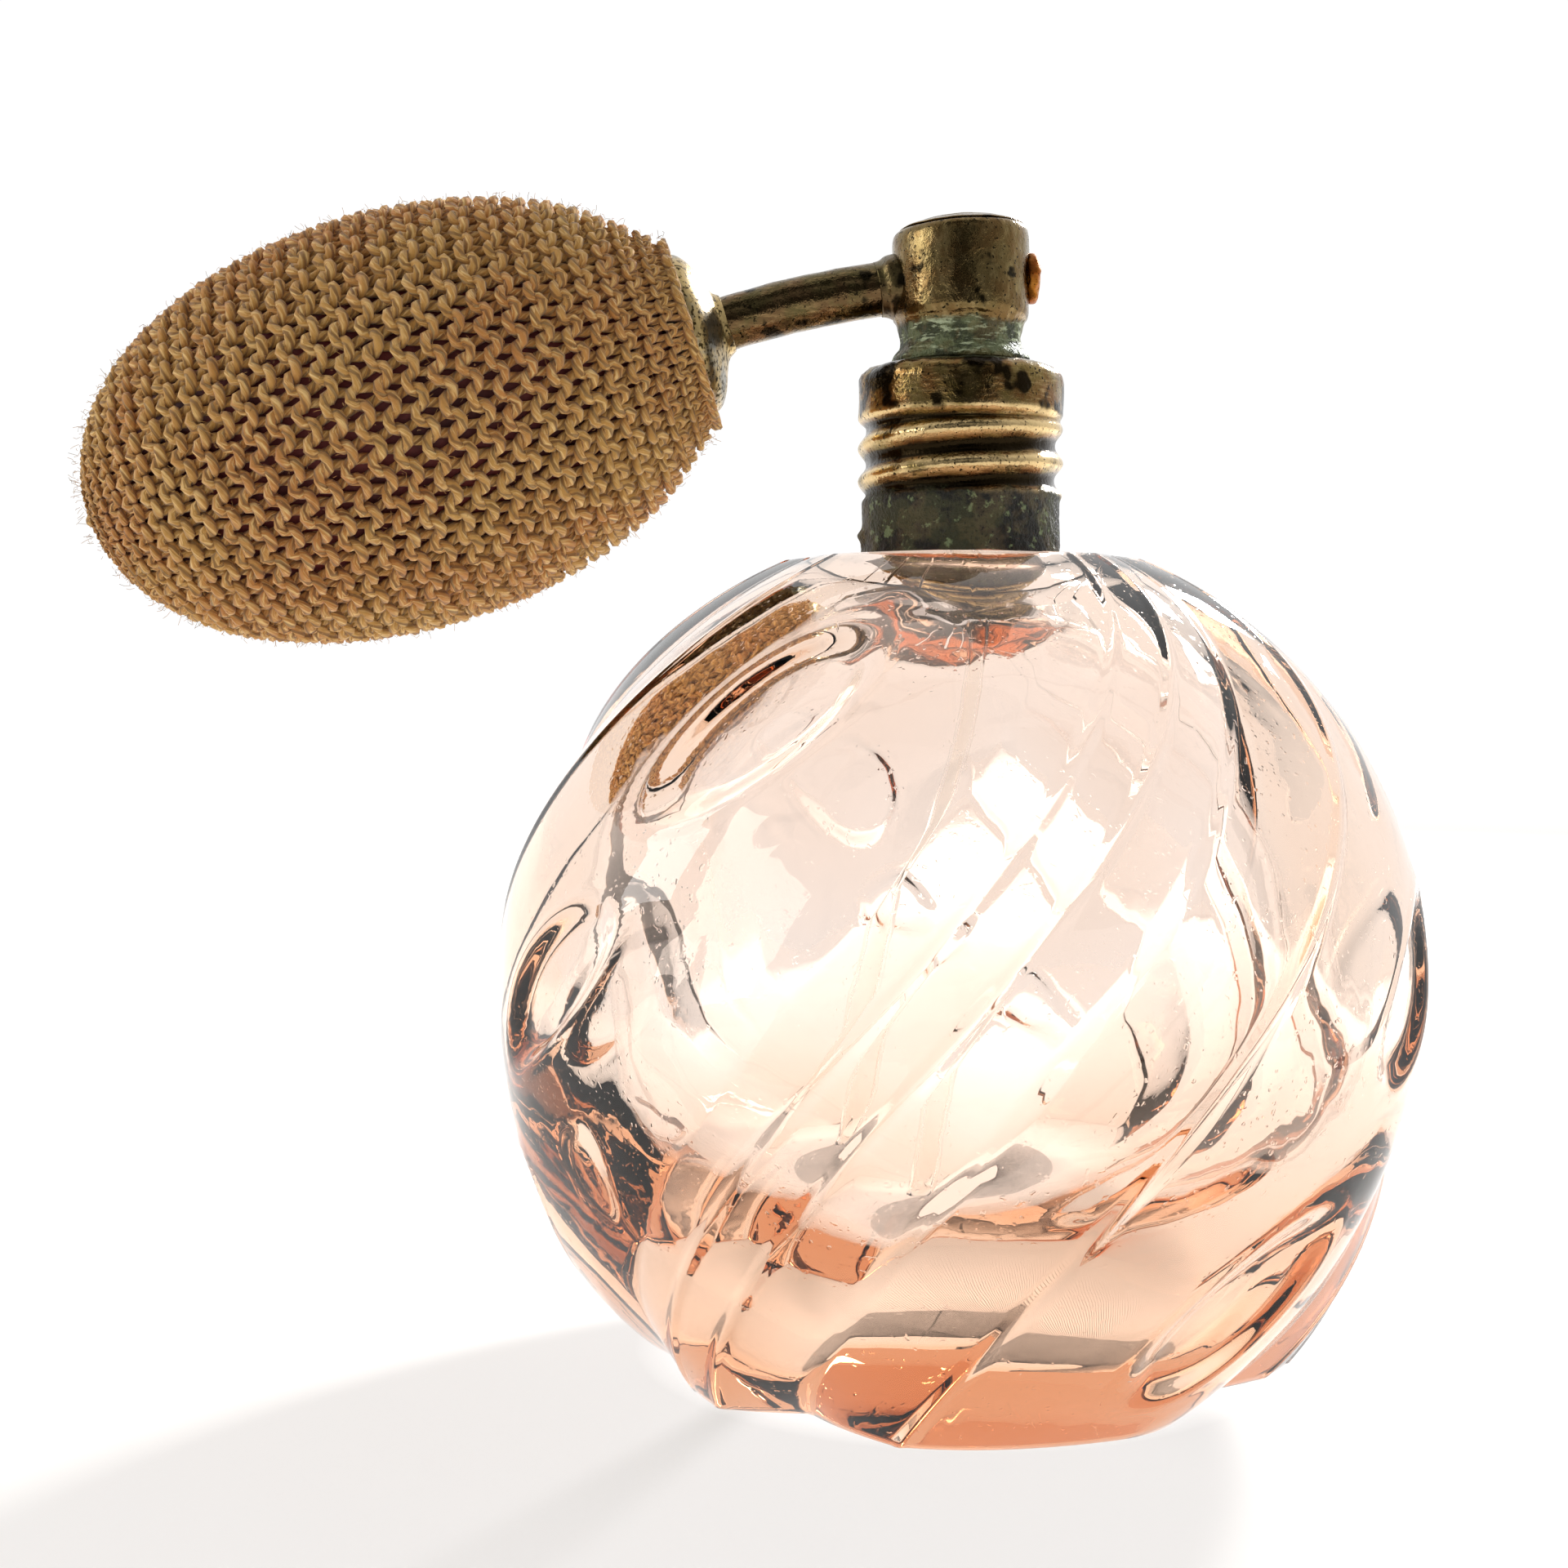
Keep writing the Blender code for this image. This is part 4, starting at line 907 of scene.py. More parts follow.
@dataclass
class GlassBottle:
    """The pressed bottle: swirled flutes, thumbprints, a threaded neck and a wide cavity."""

    radius: float = 35.0 * MM
    widest_z: float = 27.3 * MM
    foot_radius: float = 25.0 * MM
    shoulder_radius: float = 13.5 * MM
    foot_edge: float = 0.8 * MM
    cavity_radius: float = 29.5 * MM
    cavity_floor_z: float = 7.0 * MM
    cavity_floor_radius: float = 13.0 * MM
    shoulder_glass: float = 3.6 * MM
    neck_root: float = 6.45 * MM
    neck_bore: float = 4.6 * MM
    thread_depth: float = 0.65 * MM
    twist: float = math.radians(1.46) / MM
    groups: int = 3
    # (angle in a group at the widest height, relief from -1 in a valley to 0 on a crest)
    flutes: tuple[tuple[float, float], ...] = (
        (-28.0, -1.0), (-17.0, -0.42), (-7.0, -0.12), (7.0, -1.0), (26.0, 0.12), (59.0, 0.0),
        (92.0, -1.0))
    flute_depth: float = 1.9 * MM
    bead_height: float = 0.14 * MM
    bead_half_angle: float = 1.3
    foot_depth: float = 2.4 * MM
    foot_fade: float = 5.0 * MM
    print_angle: float = 57.0
    print_heights: tuple[float, ...] = (10.0 * MM, 30.0 * MM, 48.0 * MM)
    print_half: tuple[float, float] = (5.5 * MM, 6.5 * MM)
    print_depth: float = 1.25 * MM
    print_wall: float = 0.34
    print_lip: float = 0.10 * MM
    steps: int = 480
    rows: int = 104

    def plain_radius(self, height: float) -> float:
        """Return the body's radius without its relief."""
        if height >= self.widest_z:
            span, end = SHOULDER_Z - self.widest_z, self.shoulder_radius
        else:
            span, end = self.widest_z, self.foot_radius
        reach = span / math.sqrt(1.0 - (end / self.radius) ** 2)
        return self.radius * math.sqrt(1.0 - ((height - self.widest_z) / reach) ** 2)

    def relief(self, degrees: float) -> float:
        """Find the flutes' relief: straight facets with sharp creases, one eased wide panel.

        Args:
            degrees: Angle within the swirl, at the widest height.

        Returns:
            The relief, from -1 in a valley to about 0 on a crest.
        """
        span = 360.0 / self.groups
        place = (degrees - self.flutes[0][0]) % span + self.flutes[0][0]
        for (start, low), (end, high) in zip(self.flutes, self.flutes[1:]):
            if place <= end:
                share = (place - start) / (end - start)
                if start >= 26.0:
                    share = 0.5 - 0.5 * math.cos(math.pi * share)
                return low + (high - low) * share
        return self.flutes[-1][1]

    def bead(self, degrees: float) -> float:
        """Return the fine raised bead along each crease."""
        span = 360.0 / self.groups
        place = (degrees - self.flutes[0][0]) % span + self.flutes[0][0]
        near = min(abs(place - angle) for angle, _ in self.flutes[1:5])
        return self.bead_height * max(0.0, 1.0 - (near / self.bead_half_angle) ** 2)

    def dish(self, degrees: float, height: float) -> float:
        """Find how deep the nearest thumbprint is pressed at a place.

        Args:
            degrees: Angle within the swirl, at the widest height.
            height: Height of the point.

        Returns:
            The depth, 0 outside the prints.
        """
        span = 360.0 / self.groups
        off = (degrees - self.print_angle + span / 2.0) % span - span / 2.0
        across = math.radians(off) * self.plain_radius(height) / self.print_half[0]
        deepest = 0.0
        for centre in self.print_heights:
            reach = math.hypot(across, (height - centre) / self.print_half[1])
            wall = smooth_step((1.0 - reach) / self.print_wall)
            lip = math.exp(-((reach - 1.06) / 0.07) ** 2)
            deepest += self.print_depth * wall * (1.0 - 0.25 * reach) - self.print_lip * lip
        return deepest

    def swirl(self, point: Vector) -> Vector:
        """Move a point of the plain body to the swirled and dished surface.

        Args:
            point: The point before the swirl.

        Returns:
            The moved point.
        """
        height = max(point.z, 0.0)
        angle = math.degrees(math.atan2(point.y, point.x))
        dish = self.dish(angle, height)
        plain = self.plain_radius(height)
        depth = self.flute_depth * plain / self.radius
        depth += self.foot_depth * math.exp(-height / self.foot_fade)
        radius = plain + depth * self.relief(angle) + self.bead(angle) - dish
        if point.z < 0.4 * MM:
            radius -= self.foot_edge
        turned = math.radians(angle) - math.pi / 2.0 + self.twist * (height - self.widest_z)
        return Vector((radius * math.cos(turned), radius * math.sin(turned), height))

    def thread(self, point: Vector) -> Vector:
        """Raise the neck's glass thread."""
        angle = math.atan2(point.y, point.x)
        fade = smooth_step((point.z - THREAD_LOW) / THREAD_FADE)
        fade *= smooth_step((THREAD_HIGH - point.z) / THREAD_FADE)
        wave = 0.5 + 0.5 * math.cos(TURN * point.z / THREAD_PITCH - angle)
        scale = (self.neck_root + self.thread_depth * fade * wave) / self.neck_root
        return Vector((point.x * scale, point.y * scale, point.z))

    def cavity_at(self, height: float) -> float:
        """Return the cavity's radius at a height."""
        top = SHOULDER_Z - self.shoulder_glass
        if height >= self.widest_z:
            rise, end = top - self.widest_z, self.neck_bore + self.shoulder_glass
        else:
            rise, end = self.widest_z - self.cavity_floor_z, self.cavity_floor_radius
        reach = rise / math.sqrt(1.0 - (end / self.cavity_radius) ** 2)
        return self.cavity_radius * math.sqrt(1.0 - ((height - self.widest_z) / reach) ** 2)

    def heights(self, low: float, high: float, radius_at: Callable[[float], float],
                count: int) -> list[float]:
        """Space heights evenly along a curved side.

        Args:
            low: Lowest height.
            high: Highest height.
            radius_at: The side's radius at a height.
            count: How many heights.

        Returns:
            The heights, lowest first.
        """
        fine = np.linspace(low, high, 2000)
        radii = np.array([radius_at(height) for height in fine])
        run = np.concatenate([[0.0], np.cumsum(np.hypot(np.diff(fine), np.diff(radii)))])
        return list(np.interp(np.linspace(0.0, run[-1], count), run, fine))

    def build(self) -> bpy.types.Object:
        """Build the whole bottle as one closed glass wall.

        Returns:
            The bottle.
        """
        outer = [(self.plain_radius(z), z) for z in
                 self.heights(0.48 * MM, SHOULDER_Z - 0.02 * MM, self.plain_radius, self.rows)]
        outer.insert(0, (self.plain_radius(0.0), 0.0))
        top = SHOULDER_Z - self.shoulder_glass
        neck = [(self.shoulder_radius - 2.0 * MM, SHOULDER_Z + 0.12 * MM),
                (self.neck_root + 0.6 * MM, SHOULDER_Z + 0.12 * MM)]
        neck += [(self.neck_root, float(z))
                 for z in np.linspace(SHOULDER_Z + 0.6 * MM, LIP_Z - 0.3 * MM, 20)]
        neck += [(self.neck_root - 0.3 * MM, LIP_Z), (self.neck_bore + 0.3 * MM, LIP_Z),
                 (self.neck_bore, LIP_Z - 0.3 * MM), (self.neck_bore, SHOULDER_Z),
                 (self.neck_bore + 0.5 * MM, SHOULDER_Z - 1.6 * MM)]
        inner = [(self.cavity_at(z), z) for z in
                 self.heights(self.cavity_floor_z, top, self.cavity_at, 44)][::-1]
        rest = neck + inner + [(self.cavity_floor_radius * 0.5, self.cavity_floor_z + 0.5 * MM),
                               (0.0, self.cavity_floor_z + 0.7 * MM)]
        shape = bmesh.new()
        layer = shape.verts.layers.int.new("wall")
        verts = [shape.verts.new((0.0, 0.0, 0.0)),
                 shape.verts.new((0.5 * self.foot_radius, 0.0, 0.0))]
        verts += [shape.verts.new((r, 0.0, z)) for r, z in outer + rest]
        for vert in verts[2:2 + len(outer)]:
            vert[layer] = Wall.OUTER.value
        edges = [shape.edges.new(pair) for pair in zip(verts, verts[1:])]
        bmesh.ops.spin(shape, geom=verts + edges, cent=(0.0, 0.0, 0.0), axis=(0.0, 0.0, 1.0),
                       dvec=(0.0, 0.0, 0.0), angle=TURN, steps=self.steps, use_merge=True,
                       use_duplicate=False)
        bmesh.ops.remove_doubles(shape, verts=shape.verts, dist=0.000002)
        for vert in shape.verts:
            if vert[layer] == Wall.OUTER.value:
                vert.co = self.swirl(vert.co)
            elif vert.co.z > THREAD_LOW and vert.co.xy.length > self.neck_root - 0.1 * MM:
                vert.co = self.thread(vert.co)
            elif vert.co.z < SHOULDER_Z - 1.0 * MM and vert.co.z > 1.0 * MM:
                vert.co = self.wavy_inside(vert.co)
        bmesh.ops.recalc_face_normals(shape, faces=shape.faces)
        mesh = closed_off(shape, "bottle_pressed")
        piece = finish_piece("bottle_pressed", mesh, PEACH_GLASS, "pressed_glass", Body.BOTTLE,
                             "bottle_glass")
        # Clear glass lets light through to the floor; the studio's veil gives its pale shadow
        piece.visible_shadow = False
        piece.visible_diffuse = False
        return piece

    def wavy_inside(self, point: Vector) -> Vector:
        """Give the blown inside its slow waves, which bend what is seen through it."""
        wave = noise.noise(point / (11.0 * MM)) * 0.35 * MM
        outward = Vector((point.x, point.y, point.z - self.widest_z))
        return point + outward.normalized() * wave if outward.length > 1.0 * MM else point


# ---------------------------------------------------------------- collar and head


@dataclass
class ScrewCollar:
    """The thin rolled brass collar, with a ragged top and a corroded foot."""

    sheet: float = 0.35 * MM
    root: float = 7.15 * MM
    crest: float = 7.8 * MM
    band: float = 7.55 * MM
    hole: float = 4.8 * MM
    foot_z: float = 60.6 * MM
    corner: float = 1.3 * MM
    steps: int = 192

    def outer_radius(self, angle: float, height: float) -> float:
        """Return the collar's radius: lower band, rolled thread, upper band."""
        wave = 0.5 + 0.5 * math.cos(TURN * height / THREAD_PITCH - angle)
        sharp = wave ** 1.25
        thread = self.root + (self.crest - self.root) * sharp
        lower = smooth_step((height - THREAD_LOW) / THREAD_FADE)
        upper = smooth_step((height - THREAD_HIGH + THREAD_FADE) / THREAD_FADE)
        return self.crest * upper + (1.0 - upper) * (self.band + (thread - self.band) * lower)

    def shaped(self, point: Vector) -> Vector:
        """Roll the thread, dent the bands and eat away the foot's edge.

        Args:
            point: The point of the plain turned collar.

        Returns:
            The moved point.
        """
        angle = math.atan2(point.y, point.x)
        radius = point.xy.length
        height = point.z
        if radius > 6.9 * MM:
            inset = self.crest - radius
            dent = noise.noise(Vector((point.x, point.y, height)) / (2.2 * MM)) * 0.10 * MM
            crust = max(0.0, 1.0 - (height - self.foot_z) / (4.6 * MM))
            fine = noise.noise(Vector((point.x, point.y, height)) / (0.55 * MM)) * 0.13 * MM
            radius = self.outer_radius(angle, height) - inset + dent + fine * crust
            rough_top = smooth_step((height - 73.2 * MM) / (0.8 * MM))
            radius += fine * rough_top * 0.8
        left = max(0.0, -math.cos(angle + 0.35))
        foot = max(0.0, 1.0 - (height - self.foot_z) / (2.0 * MM))
        bite = noise.noise(Vector((angle * 3.2, 0.3, 1.7))) * 0.5 + 0.35
        height += foot * max(0.0, bite) * (0.12 + 0.75 * left ** 3) * MM
        flake = math.exp(-((angle - math.radians(-172.0)) / 0.10) ** 2)
        flake *= math.exp(-((height - 62.1 * MM) / (0.5 * MM)) ** 2)
        radius += 0.45 * MM * flake
        if height > 74.0 * MM:
            height += noise.noise(Vector((angle * 5.0, 2.0, 0.0))) * 0.12 * MM
        return Vector((radius * math.cos(angle), radius * math.sin(angle), height))

    def build(self) -> bpy.types.Object:
        """Build the collar.

        Returns:
            The collar.
        """
        rows = np.linspace(self.foot_z, COLLAR_TOP_Z - self.corner, 76)
        outer = [(self.crest, float(z)) for z in rows]
        for share in (0.2, 0.4, 0.6, 0.8, 1.0):
            turn = share * math.pi / 2.0
            outer.append((self.crest - self.corner * 1.25 * (1.0 - math.cos(turn)),
                          COLLAR_TOP_Z - self.corner * (1.0 - math.sin(turn))))
        ceiling = COLLAR_TOP_Z - self.sheet
        inner = [(self.hole + 0.2 * MM, COLLAR_TOP_Z), (self.hole, COLLAR_TOP_Z - 0.1 * MM),
                 (self.hole, ceiling)]
        inner += [(self.crest - self.corner - self.sheet, ceiling)]
        inner += [(self.crest - self.sheet, float(z)) for z in rows[::-1] if z < ceiling - 1.0 * MM]
        mesh = turned_mesh("collar_rolled", outer + inner, self.steps, True, None, self.shaped)
        return finish_piece("collar_rolled", mesh, COLLAR_BRASS, "antique_brass", Body.COLLAR,
                            "screw_collar")


@dataclass
class SprayHead:
    """The turned head with its domed disc, nozzle tip, air arm and solder."""

    radius: float = HEAD_RADIUS
    waist: float = 4.5 * MM
    bore: float = 3.2 * MM
    cap_radius: float = 4.72 * MM
    nozzle_radius: float = 1.9 * MM
    arm_radius: float = 2.05 * MM
    arm_wall: float = 0.7 * MM
    solder_radius: float = 2.5 * MM

    def worn(self, point: Vector) -> Vector:
        """Knock the turned surfaces a little out of true.

        Args:
            point: The point of the true turned surface.

        Returns:
            The moved point; points of the bore stay where they are.
        """
        rough = 1.0 if point.z < 78.6 * MM else 0.3
        fine = noise.noise(point / (0.6 * MM)) * 0.10 * MM * rough
        slow = noise.noise(point / (3.0 * MM)) * 0.10 * MM
        flat = Vector((point.x, point.y, 0.0))
        if flat.length < self.bore + 0.2 * MM:
            return point.copy()
        lean = smooth_step((point.z - 84.0 * MM) / (1.5 * MM)) * 0.05 * point.x
        return point + flat.normalized() * (fine + slow) + Vector((0.0, 0.0, lean))

    def build_barrel(self) -> None:
        """Build the head's barrel: flared foot, waist, straight body, rounded top edge."""
        z = HEAD_Z
        soft = rounded([
            (self.radius - 0.05 * MM, z), (self.radius + 0.05 * MM, z + 0.30 * MM),
            (self.radius - 0.25 * MM, z + 0.75 * MM), (self.waist + 0.12 * MM, z + 1.15 * MM),
            (self.waist, z + 1.7 * MM), (self.waist + 0.15 * MM, z + 2.3 * MM),
            (self.waist + 0.35 * MM, z + 3.1 * MM), (self.radius - 0.1 * MM, z + 3.35 * MM),
            (self.radius, z + 3.8 * MM)], 2, False)
        rise = [(self.radius, float(h)) for h in
                np.linspace(z + 4.2 * MM, HEAD_TOP_Z - 1.0 * MM, 20)]
        crown = [(self.radius - 0.02 * MM, HEAD_TOP_Z - 0.7 * MM),
                 (self.radius - 0.10 * MM, HEAD_TOP_Z - 0.38 * MM),
                 (self.radius - 0.24 * MM, HEAD_TOP_Z - 0.14 * MM),
                 (self.radius - 0.42 * MM, HEAD_TOP_Z)]
        inside = [(self.bore, HEAD_TOP_Z), (self.bore, z + 3.5 * MM), (2.3 * MM, z + 3.5 * MM),
                  (2.3 * MM, z)]
        mesh = turned_mesh("head_barrel", soft + rise + crown + inside, 144, True, None,
                           self.worn)
        finish_piece("head_barrel", mesh, HEAD_BRASS, "head_brass", Body.HEAD, "head_body")

    def build_disc(self) -> None:
        """Build the domed disc that closes the head."""
        seat = HEAD_TOP_Z + 0.05 * MM
        profile = [(0.0, seat + 0.92 * MM), (1.6 * MM, seat + 0.88 * MM),
                   (2.9 * MM, seat + 0.72 * MM), (3.3 * MM, seat + 0.62 * MM),
                   (3.4 * MM, seat + 0.52 * MM), (4.2 * MM, seat + 0.30 * MM),
                   (self.cap_radius, seat + 0.12 * MM), (self.cap_radius, seat),
                   (self.bore - 0.3 * MM, seat), (self.bore - 0.3 * MM, seat - 1.4 * MM),
                   (0.0, seat - 1.4 * MM)]
        fine = rounded(profile, 2, False)
        mesh = turned_mesh("head_disc", fine, 96, False, None, self.tilted)
        finish_piece("head_disc", mesh, HEAD_BRASS, "head_brass", Body.HEAD, "head_cap")

    def tilted(self, point: Vector) -> Vector:
        """Lean the disc with the head's worn crown."""
        slow = noise.noise(point / (1.5 * MM)) * 0.05 * MM
        return Vector((point.x, point.y, point.z + 0.05 * point.x + slow))

    def build_nozzle(self) -> None:
        """Build the domed nozzle tip with its chipped rim and fine hole."""
        face = self.radius + 0.80 * MM
        hole = 0.25 * MM
        profile = [(self.nozzle_radius, self.radius - 0.2 * MM),
                   (self.nozzle_radius, self.radius + 0.32 * MM),
                   (self.nozzle_radius - 0.15 * MM, self.radius + 0.54 * MM),
                   (0.9 * MM, face - 0.03 * MM), (0.55 * MM, face), (hole, face - 0.08 * MM),
                   (hole, face - 0.5 * MM), (0.85 * MM, face - 0.5 * MM),
                   (0.85 * MM, self.bore + 0.3 * MM), (1.4 * MM, self.bore + 0.3 * MM),
                   (1.4 * MM, self.radius - 0.2 * MM)]
        place = Matrix.Translation((0.0, 0.0, NOZZLE_Z)) @ Matrix.Rotation(math.pi / 2.0, 4, "Y")
        mesh = turned_mesh("nozzle_disc", rounded(profile, 2), 72, True, place, self.chipped)
        finish_piece("nozzle_disc", mesh, OCHRE_BRASS, "ochre_tip", Body.HEAD, "nozzle_tip")

    def chipped(self, point: Vector) -> Vector:
        """Chip the nozzle's rim."""
        out = smooth_step((point.xy.length - 0.9 * MM) / (0.6 * MM))
        return point + Vector((0.0, 0.0, noise.noise(point / (0.7 * MM)) * 0.22 * MM * out))

    def build_arm(self) -> None:
        """Build the air arm: a ring carried along the arc in short steps, then given its wall."""
        shape = bmesh.new()
        first = Matrix.Rotation(-math.pi / 2.0 - ARM_LEAVE_ANGLE, 4, "Y")
        made = bmesh.ops.create_circle(shape, cap_ends=False, segments=48,
                                       radius=self.arm_radius,
                                       matrix=Matrix.Translation(arm_point(-0.13)) @ first)
        bmesh.ops.spin(shape, geom=made["verts"] + shape.edges[:], cent=self.arm_centre(),
                       axis=(0.0, -1.0, 0.0), dvec=(0.0, 0.0, 0.0),
                       angle=(ARM_END_ANGLE - ARM_LEAVE_ANGLE) * 1.13, steps=56,
                       use_merge=False, use_duplicate=False)
        bmesh.ops.remove_doubles(shape, verts=shape.verts, dist=0.000002)
        for vert in shape.verts:
            vert.co += Vector((0.0, noise.noise(vert.co / (2.5 * MM)) * 0.05 * MM,
                               noise.noise(vert.co / (1.7 * MM)) * 0.06 * MM))
        bmesh.ops.recalc_face_normals(shape, faces=shape.faces)
        outward = sum(face.normal.dot(face.calc_center_median() - self.arm_near(face))
                      for face in shape.faces)
        if outward < 0.0:
            bmesh.ops.reverse_faces(shape, faces=shape.faces)
        piece = finish_piece("arm_tube", closed_off(shape, "arm_tube"), ARM_BRASS, "arm_brass",
                             Body.HEAD, "air_arm")
        wall = piece.modifiers.new("wall", "SOLIDIFY")
        wall.thickness = self.arm_wall
        wall.offset = -1.0

    def arm_centre(self) -> Vector:
        """Return the centre of the arm's arc."""
        inward = Vector((math.sin(ARM_LEAVE_ANGLE), 0.0, -math.cos(ARM_LEAVE_ANGLE)))
        return arm_point(0.0) + inward * ARM_BEND

    def arm_near(self, face: bmesh.types.BMFace) -> Vector:
        """Return the arm's centre line nearest a face."""
        centre = self.arm_centre()
        away = face.calc_center_median() - centre
        away.y = 0.0
        return centre + away.normalized() * ARM_BEND

    def build_solder(self) -> None:
        """Build the hollow-cheeked fillet of solder round the arm's root."""
        root = self.arm_radius + 0.02 * MM
        profile = [(root, 1.2 * MM), (root + 0.05 * MM, 0.8 * MM), (root + 0.14 * MM, 0.5 * MM),
                   (root + 0.34 * MM, 0.22 * MM), (self.solder_radius, -0.10 * MM),
                   (self.solder_radius, -0.9 * MM), (root, -0.9 * MM)]
        place = slanted(arm_point(0.0), ARM_LEAVE_ANGLE)
        mesh = turned_mesh("arm_fillet", rounded(profile, 2), 72, True, place, self.lumpy)
        finish_piece("arm_fillet", mesh, SOFT_SOLDER, "solder", Body.HEAD, "arm_solder")

    def lumpy(self, point: Vector) -> Vector:
        """Let the fillet run a little further below the arm, as solder does."""
        scale = 1.0 + noise.noise(point / (1.4 * MM)) * 0.06
        under = max(0.0, point.x) / (3.0 * MM) * 0.25 * MM
        return Vector((point.x * scale, point.y * scale, point.z + under))

    def build(self) -> None:
        """Build the whole head."""
        self.build_barrel()
        self.build_disc()
        self.build_nozzle()
        self.build_arm()
        self.build_solder()


@dataclass
class DipTube:
    """The clear tube that hangs in the bottle and leans to one side."""

    radius: float = 1.1 * MM
    wall: float = 0.35 * MM
    top: float = 65.25 * MM
    low: float = 9.0 * MM
    lean: float = 7.5 * MM
    upright_above: float = 64.0 * MM

    def build(self) -> None:
        """Build the tube along its leaning line."""
        shares = np.linspace(0.0, 1.0, 40)
        path = np.column_stack([-self.lean * shares ** 1.7, np.zeros(40),
                                self.top + (self.low - self.top) * shares])
        shape = bmesh.new()
        made = bmesh.ops.create_circle(shape, cap_ends=False, segments=24, radius=self.radius,
                                       matrix=Matrix.Translation(path[0]))
        loop = list({edge for vert in made["verts"] for edge in vert.link_edges})
        for here, there in zip(path, path[1:]):
            grown = bmesh.ops.extrude_edge_only(shape, edges=loop)["geom"]
            rings = [item for item in grown if isinstance(item, bmesh.types.BMVert)]
            loop = [item for item in grown if isinstance(item, bmesh.types.BMEdge)
                    and all(vert in rings for vert in item.verts)]
            bmesh.ops.translate(shape, vec=Vector(there) - Vector(here), verts=rings)
        bmesh.ops.recalc_face_normals(shape, faces=shape.faces)
        # Near its top the tube still hangs on the bottle's axis, so its skin must face away
        upper = [face for face in shape.faces
                 if face.calc_center_median().z > self.upright_above]
        outward = sum(face.normal.xy.dot(face.calc_center_median().xy) for face in upper)
        if outward < 0.0:
            bmesh.ops.reverse_faces(shape, faces=shape.faces)
        piece = finish_piece("dip_tube_clear", closed_off(shape, "dip_tube_clear"), CLEAR_TUBE,
                             "clear_tube", Body.HEAD, "dip_tube")
        wall = piece.modifiers.new("wall", "SOLIDIFY")
        wall.thickness = self.wall
        wall.offset = -1.0


# ---------------------------------------------------------------- bulb


@dataclass
class SqueezeBulb:
    """The cup and the rubber bulb that the knitted net covers."""

    half_length: float = 25.5 * MM
    half_width: float = 15.8 * MM
    cup_radius: float = 6.3 * MM
    cup_sheet: float = 0.4 * MM
    cup_depth: float = 4.2 * MM
    rubber_inset: float = 1.72 * MM
    squeeze_anchor: float = 4.2 * MM
    squeeze_travel: float = 9.0 * MM

    def squash(self, piece: bpy.types.Object) -> None:
        """Give a soft piece a mesh of its own."""
        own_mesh(piece)

    def build_cup(self) -> None:
        """Build the dished cup that holds the bulb's mouth."""
        outer = [(self.cup_radius, self.cup_depth), (self.cup_radius, 3.2 * MM),
                 (0.985 * self.cup_radius, 2.5 * MM), (0.93 * self.cup_radius, 1.75 * MM),
                 (4.7 * MM, 1.05 * MM), (3.4 * MM, 0.62 * MM), (2.6 * MM, 0.30 * MM),
                 (2.3 * MM, -0.15 * MM), (2.12 * MM, -0.45 * MM)]
        inner = [(2.08 * MM, 0.3 * MM), (2.6 * MM, 0.85 * MM), (4.5 * MM, 1.45 * MM),
                 (0.9 * self.cup_radius, 2.2 * MM),
                 (self.cup_radius - self.cup_sheet, 3.3 * MM),
                 (self.cup_radius - self.cup_sheet, self.cup_depth)]
        mesh = turned_mesh("cup_gilt", rounded(outer + inner, 2), 120, True, BULB_PLACE,
                           self.dented)
        finish_piece("cup_gilt", mesh, PALE_GILT, "pale_gilt", Body.BULB, "ferrule_cup")

    def dented(self, point: Vector) -> Vector:
        """Leave the cup's thin sheet slightly dented."""
        return point + Vector((0.0, 0.0, noise.noise(point / (2.6 * MM)) * 0.12 * MM))

    def build_rubber(self) -> None:
        """Build the hollow rubber bulb inside the net."""
        length, width = (self.half_length - self.rubber_inset, self.half_width - self.rubber_inset)
        wall = 1.5 * MM
        turns = np.linspace(math.acos((self.half_length - 4.8 * MM) / length),
                            math.pi - 0.245, 60)
        outer = [(width * math.sin(t), self.half_length - length * math.cos(t)) for t in turns]
        inner = [((width - wall) * math.sin(t), self.half_length - (length - wall) * math.cos(t))
                 for t in turns[::-1]]
        lip = 5.6 * MM
        profile = [(3.5 * MM, 3.8 * MM), (lip, 3.8 * MM), (lip, 4.5 * MM)] + outer
        profile += [(3.1 * MM, 47.9 * MM), (3.1 * MM, 46.0 * MM)] + inner + [(3.5 * MM, 5.9 * MM)]
        mesh = turned_mesh("bulb_rubber", profile, 96, True, BULB_PLACE)
        piece = finish_piece("bulb_rubber", mesh, MAROON_RUBBER, "maroon_rubber", Body.BULB,
                             "rubber_bulb")
        self.squash(piece)

    def build(self) -> None:
        """Build the cup and the rubber."""
        self.build_cup()
        self.build_rubber()


